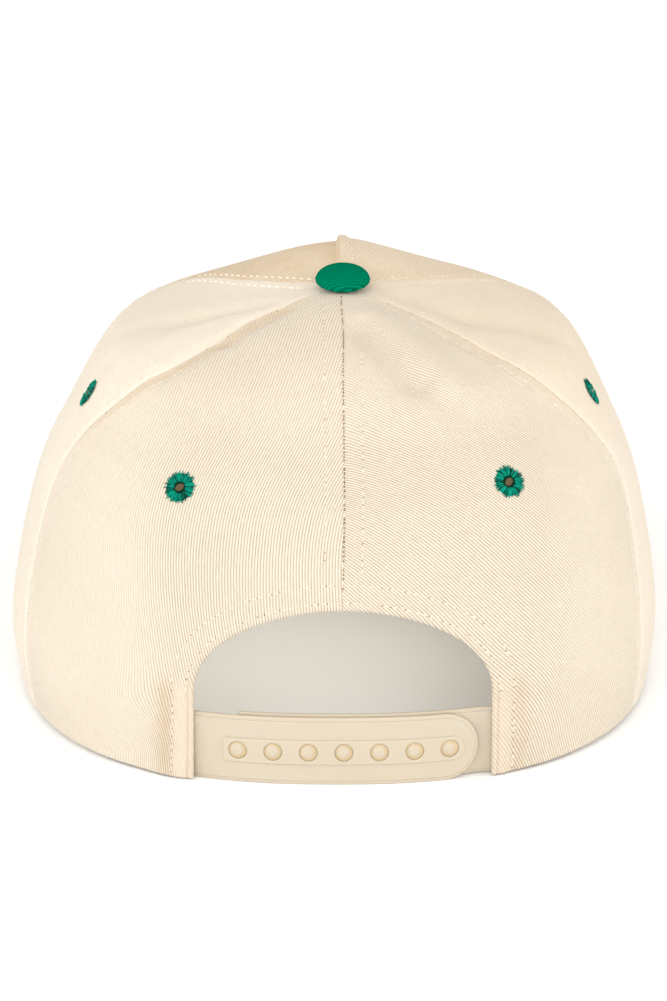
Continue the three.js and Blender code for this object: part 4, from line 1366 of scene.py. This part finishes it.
def thread(name, light, dark, settings):
    """Sewing thread, in Object coordinates: uneven tone and fine twisted fibres."""
    material, made = new_material(name)
    place = made.add("ShaderNodeTexCoord").outputs["Object"]
    strands = noise(made, place, 2600.0, 2.0)
    shade = made.add("ShaderNodeAttribute", {"attribute_name": "shade"}).outputs["Fac"]
    blotch = noise(made, place, 330.0, 2.0)
    tone = made.maths("MULTIPLY_ADD", blotch, 0.7, made.maths("MULTIPLY", strands, 0.7))
    tone = made.maths("MULTIPLY", made.maths("ADD", tone, 0.3), shade)
    colour = mixed(made, made.within(tone, 0.0, 1.0), dark, light)
    finish_material(made, colour, strands, 0.00008, settings)
    return material


def moulded(name, light, dark, settings):
    """Moulded plastic: a faint cloud of tone, flow marks and a fine satin grain."""
    material, made = new_material(name)
    place = made.add("ShaderNodeTexCoord").outputs["Object"]
    cloud = noise(made, place, 45.0, 3.0)
    flow = noise(made, made.vector("MULTIPLY", place, (60.0, 60.0, 420.0)), 1.0, 3.0)
    grain = noise(made, place, 2400.0, 2.0)
    scuff = noise(made, made.vector("MULTIPLY", place, (700.0, 700.0, 110.0)), 1.0, 4.0, 0.7)
    mix = made.maths("MULTIPLY_ADD", cloud, 0.6, made.maths("MULTIPLY", flow, 0.4))
    colour = mixed(made, mix, dark, light)
    height = made.maths("MULTIPLY_ADD", grain, 0.25, made.maths("MULTIPLY_ADD", scuff, 0.3, flow))
    shader = finish_material(made, colour, height, 0.00006, settings)
    made.feed(shader, "Roughness", made.maths("MULTIPLY_ADD", scuff, 0.24, 0.3))
    return material


COTTON = {"Roughness": 0.9, "Specular IOR Level": 0.15, "Sheen Weight": 0.1, "Sheen Roughness": 0.5}
GREEN_COTTON = {"Roughness": 0.9, "Specular IOR Level": 0.0}
SOFT_THREAD = {"Roughness": 0.6, "Sheen Weight": 0.1}
BRIGHT_THREAD = {"Roughness": 0.5, "Sheen Weight": 0.1}
GREEN_THREAD = {"Roughness": 0.6, "Specular IOR Level": 0.06}
PLASTIC = {
    "Subsurface Weight": 0.2, "Subsurface Radius": (1.0, 0.7, 0.4), "Subsurface Scale": 0.0015,
    "IOR": 1.46,
}
# Each finish goes from its light colour to its dark one
CREAM, TAN = (0.715, 0.653, 0.562, 1), (0.44, 0.335, 0.215, 1)
GREEN, DARK_GREEN = (0.0, 0.2, 0.105, 1), (0.0, 0.09, 0.045, 1)
BAND_CREAM, BAND_TAN = (0.68, 0.62, 0.52, 1), (0.45, 0.38, 0.29, 1)
THREAD, DARK_THREAD = (0.74, 0.67, 0.555, 1), (0.60, 0.51, 0.385, 1)
# A lighter copy of the thread colour for the bold rows on the left front: painted highlight
BRIGHT, DARK_BRIGHT = (0.87, 0.82, 0.73, 1), (0.74, 0.66, 0.54, 1)
BROWN, DARK_BROWN = (0.34, 0.22, 0.11, 1), (0.13, 0.08, 0.035, 1)
SILKY_GREEN, DEEP_GREEN = (0.0, 0.27, 0.18, 1), (0.0, 0.02, 0.01, 1)
OLIVE, DARK_OLIVE = (0.17, 0.11, 0.05, 1), (0.09, 0.06, 0.025, 1)
STRAP, DARK_STRAP = (0.54, 0.47, 0.368, 1), (0.50, 0.425, 0.318, 1)
# A darker, yellower copy of the strap plastic for the collars: painted shade and glow in the ring between
# each peg and its hole
GOLD, DARK_GOLD = (0.55, 0.43, 0.26, 1), (0.49, 0.375, 0.22, 1)

cream_twill = twill("cream cotton twill", CREAM, TAN, 0.83, 0.19, COTTON)
soft_twill = twill("soft cream cotton twill", CREAM, TAN, 0.83, 0.08, COTTON, 0.42)
green_twill = twill("green cotton twill", GREEN, DARK_GREEN, 0.62, 0.13, GREEN_COTTON)
band_cloth = twill("sweatband cotton", BAND_CREAM, BAND_TAN, 0.6, 0.1, COTTON)
cream_thread = thread("cream thread", THREAD, DARK_THREAD, SOFT_THREAD)
highlit_thread = thread("cream thread with painted highlight", BRIGHT, DARK_BRIGHT, BRIGHT_THREAD)
# Dark brown marks: painted shadow in the needle holes and in the back seam's gap
painted_shadow_thread = thread("dark brown painted shadow", BROWN, DARK_BROWN, {"Roughness": 0.8})
green_thread = thread("green thread", SILKY_GREEN, DEEP_GREEN, GREEN_THREAD)
shaded_stiffener_cloth = thread("olive stiffener with painted shade", OLIVE, DARK_OLIVE, {"Roughness": 0.9})
strap_plastic = moulded("strap plastic", STRAP, DARK_STRAP, PLASTIC)
ring_gap_shade_plastic = moulded("strap plastic with painted ring gap shade", GOLD, DARK_GOLD, PLASTIC)


def place_piece(piece, material, slot, *nodes):
    """Gives a piece its finish and its body, and hides the solids that it replaces; the slot is not used."""
    if material:
        piece.data.materials.clear()
        piece.data.materials.append(material)
    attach(piece, "root")
    if nodes:
        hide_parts(*nodes)
    return piece


# The dressed cap
for word, side in (("left", -1), ("right", 1)):
    for panel in ("back", "side", "front"):
        finish = cream_twill if panel == "back" else soft_twill
        place_piece(crown_panel(panel, word, side), finish, "crown_cotton", f"panel_{panel}_{word}")

place_piece(button_piece(), green_twill, "green_cotton", "button")
place_piece(peak_piece(), green_twill, "green_cotton", "peak")
place_piece(band_piece(), band_cloth, "band_cotton", "sweatband")

# Sewing. Pitches are in millimetres, the sizes of threads in metres.
STITCH_PITCH = 2.2
BOLD_PITCH = 2.45
DASH_PITCH = 1.3
PEAK_PITCH = 3.3
BAND_PITCH = 3.6
STITCH = {"Length": 0.0018, "Width": 0.0004, "Height": 0.00032, "Wander": 0.08, "Seed": 3}
PLAIN_STITCH = {**STITCH, "Material": cream_thread}
BOLD_STITCH = {**STITCH, "Length": 0.0023, "Width": 0.00058, "Height": 0.0006, "Material": highlit_thread}
PEAK_STITCH = {**STITCH, "Length": 0.0027, "Width": 0.00055, "Material": green_thread}
BAND_STITCH = {**STITCH, "Length": 0.0029, "Width": 0.0005, "Material": cream_thread}
PAINTED_SHADOW = {"Material": painted_shadow_thread}
# Needle holes: small dark brown bumps, painted shadow of the holes
NEEDLE_HOLE = {"Length": 0.0005, "Width": 0.0004, "Height": 0.00024, "Wander": 0.3, "Seed": 4, **PAINTED_SHADOW}
DASH = {"Length": 0.00085, "Width": 0.0003, "Height": 0.00026, "Wander": 0.4, "Seed": 8, **PAINTED_SHADOW}
HEM_LEVEL = 0.14
BOLD_LEVEL = 5.05
ROW_TOP_LEVEL = 6.66
ROW_STARTS = (
    ("back", "back", 2.36),
    ("side", "back", HEM_LEVEL),
    ("side", "side", HEM_LEVEL),
    ("front", "side", HEM_LEVEL),
    ("front", "front", HEM_LEVEL),
)
HOLES_KEPT = (
    {"rows": "arch", "kept": 0.5, "seed": 6},
    {"rows": "back seam", "kept": 0.7, "seed": 9},
    {"rows": "arch legs", "kept": 0.95, "seed": 4},
    {"rows": "side seam", "kept": 0.2, "seed": 3},
)


def crest_row():
    """The row of stitches to the right of the raised centre seam."""
    level = np.linspace(HEM_LEVEL, 6.62, 260)
    middle = from_table(ROUND, level, np.full(len(level), 180.0))
    return cloth_surface(level, angle_at_distance(level, middle - CREST["row"]), 1, "front", 0.02)


def back_seam_dashes():
    """Dark brown dashes along the back seam, above the arch: painted shadow in the seam's gap."""
    level = np.linspace(2.22, 6.6, 400)
    return cloth_surface(level, seam_angle("back", level, 1), 1, "back", 0.22)


def crown_stitch_rows():
    """The crown's rows of stitches and needle holes, by kind."""
    rows = {kind: [] for kind in ("plain", "back seam", "bold", "arch", "arch legs", "side seam")}
    for side in (-1, 1):
        for seam, panel, low in ROW_STARTS:
            high = ROW_TOP_LEVEL
            if seam == "front" and side < 0:
                rows["bold"].append(seam_row(seam, side, panel, BOLD_LEVEL, high))
                high = BOLD_LEVEL
            rows["back seam" if seam == "back" else "plain"].append(seam_row(seam, side, panel, low, high))
        first, last = ARCH_ROWS
        rows["arch"] += [arch_row(first, side, 25, 80), arch_row(last, side, 24, 80)]
        rows["arch legs"].append(arch_row(last, side, 1, 24))
        level = np.linspace(1.2, 6.4, 260)
        rows["side seam"].append(cloth_surface(level, seam_angle("side", level, side), side, "back", 0.05))
    rows["plain"].append(crest_row())
    return rows


def sew(name, paths, stitch, slot):
    place_piece(grown(name, paths, stitches, stitch), None, slot)


stitches = stitch_tree()
rows = crown_stitch_rows()
plain_rows = rows["plain"] + rows["back seam"] + rows["arch"] + rows["arch legs"]
holes = []
for kind in HOLES_KEPT:
    holes += sewn(rows[kind["rows"]], STITCH_PITCH, 1.0, kind["kept"], kind["seed"])
sew("crown_stitches", sewn(plain_rows, STITCH_PITCH, 0.5), PLAIN_STITCH, "crown_cotton")
sew("front_stitches", sewn(rows["bold"], BOLD_PITCH, 0.5), BOLD_STITCH, "crown_cotton")
sew("crown_needle_holes", holes, NEEDLE_HOLE, None)
sew("back_seam_shadow_dashes", sewn([back_seam_dashes()], DASH_PITCH, 0.5, 0.85, 7), DASH, None)
sew("peak_stitches", sewn(peak_rows(), PEAK_PITCH, 0.5), PEAK_STITCH, "green_thread")
sew("sweatband_stitches", sewn(band_rows(), BAND_PITCH, 0.5), BAND_STITCH, "band_cotton")

# Eyelets
RING = {"Threads": 78, "Inner": 0.0014, "Outer": 0.0046, "Height": 0.0007, "Width": 0.00028}
SIDE_RING = {"Outer": 0.0041, "Height": 0.0005}
SIDE_LEAN = 8.0
RING_SINK = 0.3
DISC = {"sides": 24, "bottom": -0.7, "slant": 35}
# Two discs behind each eyelet's threads: the near-black green hole disc is painted shade inside the hole, and
# the olive stiffener is lining painted dark as in shade
DISCS = (
    {
        "name": "hole", "wide": 1.95, "tall": 1.95, "top": -0.2,
        "finish": green_thread, "slot": "green_thread",
    },
    {
        "name": "stiffener", "wide": 1.35, "tall": 0.95, "top": -0.08,
        "finish": shaded_stiffener_cloth, "slot": "crown_cotton",
    },
)


def eyelet_axes(eyelet):
    """The eyelet's middle on the plain crown, and the ways across, up and out of it."""
    centre = crown_point(eyelet["level"], eyelet["angle"])
    lean = math.radians(SIDE_LEAN if eyelet["panel"] == "side" else 0)
    out = crown_normal(eyelet["level"], eyelet["angle"]) * math.cos(lean) + np.array([0, math.sin(lean), 0])
    out /= np.linalg.norm(out)
    across = np.cross([0, 0, 1.0], out)
    across /= np.linalg.norm(across)
    return centre, np.stack([across, np.cross(out, across), out])


def eyelet_threads(eyelet, seed):
    sizes = {**RING, **SIDE_RING} if eyelet["panel"] == "side" else RING
    values = {**sizes, "Seed": seed, "Material": green_thread}
    piece = grown(f"eyelet_{eyelet['name']}_threads", [], rings, values)
    centre, axes = eyelet_axes(eyelet)
    spots = np.empty(len(piece.data.vertices) * 3)
    piece.data.vertices.foreach_get("co", spots)
    foot = centre - axes[2] * (fold_depth(centre) + RING_SINK)
    piece.data.vertices.foreach_set("co", (spots.reshape(-1, 3) @ axes + to_frame(foot)).ravel())
    piece.data.update()
    return piece


def eyelet_disc(eyelet, disc):
    """A slanted oval disc behind the threads, coloured dark as painted shade in the hole."""
    centre, axes = eyelet_axes(eyelet)
    count = DISC["sides"]
    slant = math.radians(DISC["slant"])
    spots = hole_outline(0, 0, 1.0, count) * (disc["wide"], disc["tall"])
    spots = spots @ np.array([[math.cos(slant), math.sin(slant)], [-math.sin(slant), math.cos(slant)]])
    heights = np.repeat([DISC["bottom"], disc["top"]], count)[:, None]
    points = np.hstack([np.vstack([spots, spots]), heights]) @ axes + centre - axes[2] * fold_depth(centre)
    low = np.arange(count)
    after = (low + 1) % count
    walls = np.stack([low, after, after + count, low + count], -1).tolist()
    mesh = bpy.data.meshes.new(disc["name"])
    mesh.from_pydata(to_frame(points).tolist(), [], [low[::-1].tolist(), (low + count).tolist(), *walls])
    clean(mesh)
    return add_object(f"eyelet_{eyelet['name']}_{disc['name']}", mesh)


rings = eyelet_tree()
for number, eyelet in enumerate(EYELETS):
    place_piece(eyelet_threads(eyelet, 10 + number), None, "green_thread", f"eyelet_{eyelet['name']}")
    for disc in DISCS:
        place_piece(eyelet_disc(eyelet, disc), disc["finish"], disc["slot"])


def moulded_row(name, shape, material):
    """The pegs, or the collars round them, one in each hole of the strap; the collars' golden colour is
    painted shade and glow in the ring gap.
    """
    level, angle = locate(peg_x(), HOLE_TAB["hole_height"])
    out = crown_normal(level, angle)
    depth = (shape["foot_depth"] + shape["head_depth"]) / 2 - strap_bulge(peg_x())
    at = under(level, angle, depth) + np.array(shape["shift"])
    paths = [(at[k:k + 1], out[k:k + 1]) for k in range(PEGS["count"])]
    height = shape["foot_depth"] - shape["head_depth"]
    sizes = {"Radius": shape["radius"] / 1000, "Height": height / 1000, "Chamfer": PEGS["chamfer"] / 1000}
    return grown(name, paths, pegs, {**sizes, "Material": material}, 35)


pegs = peg_tree()
place_piece(hole_tab_piece(), strap_plastic, "strap_plastic", "strap_hole_tab")
place_piece(peg_tab_piece(), strap_plastic, "strap_plastic", "strap_peg_tab")
place_piece(moulded_row("strap_pegs_moulded", PEG, strap_plastic), None, "strap_plastic")
place_piece(moulded_row("strap_peg_collars_moulded", COLLAR, ring_gap_shade_plastic), None, "strap_plastic")

# Floor, light and camera, in metres
FLOOR = {"Base Color": (0.93, 0.94, 0.95, 1), "Roughness": 0.6, "Specular IOR Level": 0.2}
FLOOR_CORNERS = [(-6, -6, 0), (6, -6, 0), (6, 12, 0), (-6, 12, 0)]
WORLD = {"Color": (1.0, 0.96, 0.905, 1), "Strength": 0.93}
LIGHTS = (
    {
        "name": "camera side softbox", "place": (-0.25, -1.8, 1.15), "aim": (0, 0, 0.05),
        "size": 2.2, "power": 26.8, "colour": (0.97, 0.985, 1.0),
    },
    {
        "name": "left softbox", "place": (-1.9, -0.7, 0.6), "aim": (0, 0, 0.05),
        "size": 1.6, "power": 13.2, "colour": (0.92, 0.97, 1.0),
    },
    {
        "name": "right softbox", "place": (1.9, -0.7, 0.6), "aim": (0, 0, 0.05),
        "size": 1.6, "power": 16.5, "colour": (0.97, 0.985, 1.0),
    },
    {
        "name": "fill inside the crown", "place": (-0.016, -0.035, 0.052), "aim": (-0.016, -0.035, 0),
        "size": 0.13, "power": 0.040, "colour": (1, 0.965, 0.875),
    },
)
CAMERA = {"place": (-0.00016, -1.421, 0.55312), "down": 20, "sensor": 36, "lens": 179.75, "near": 0.05}


def white_table():
    mesh = bpy.data.meshes.new("floor")
    mesh.from_pydata(FLOOR_CORNERS, [], [(0, 1, 2, 3)])
    paint, made = new_material("white table")
    shader = made.add("ShaderNodeBsdfPrincipled")
    for key, value in FLOOR.items():
        made.feed(shader, key, value)
    made.add("ShaderNodeOutputMaterial", Surface=shader)
    mesh.materials.append(paint)
    return add_object("floor", mesh)


def soft_light(name, place, aim, size, power, colour):
    light = bpy.data.lights.new(name, "AREA")
    light.shape = "DISK"
    light.size = size
    light.energy = power
    light.color = colour
    lamp = bpy.data.objects.new(name, light)
    lamp.visible_camera = False
    lamp.location = place
    direction = np.array(aim, float) - np.array(place, float)
    yaw = math.atan2(direction[0], -direction[1])
    tilt = math.atan2(math.hypot(direction[0], direction[1]), -direction[2])
    lamp.rotation_euler = (tilt, 0, yaw + math.pi)
    bpy.context.scene.collection.objects.link(lamp)


floor = white_table()

world = bpy.data.worlds.new("studio")
bpy.context.scene.world = world
world.use_nodes = True
for key, value in WORLD.items():
    world.node_tree.nodes["Background"].inputs[key].default_value = value
for light in LIGHTS:
    soft_light(**light)

camera_data = bpy.data.cameras.new("camera")
camera_data.sensor_fit = "VERTICAL"
camera_data.sensor_height = CAMERA["sensor"]
camera_data.lens = CAMERA["lens"]
camera_data.clip_start = CAMERA["near"]
camera = bpy.data.objects.new("camera", camera_data)
camera.location = CAMERA["place"]
camera.rotation_euler = (math.radians(90 - CAMERA["down"]), 0, 0)
bpy.context.scene.collection.objects.link(camera)
bpy.context.scene.camera = camera
bpy.context.scene.view_settings.view_transform = "Standard"
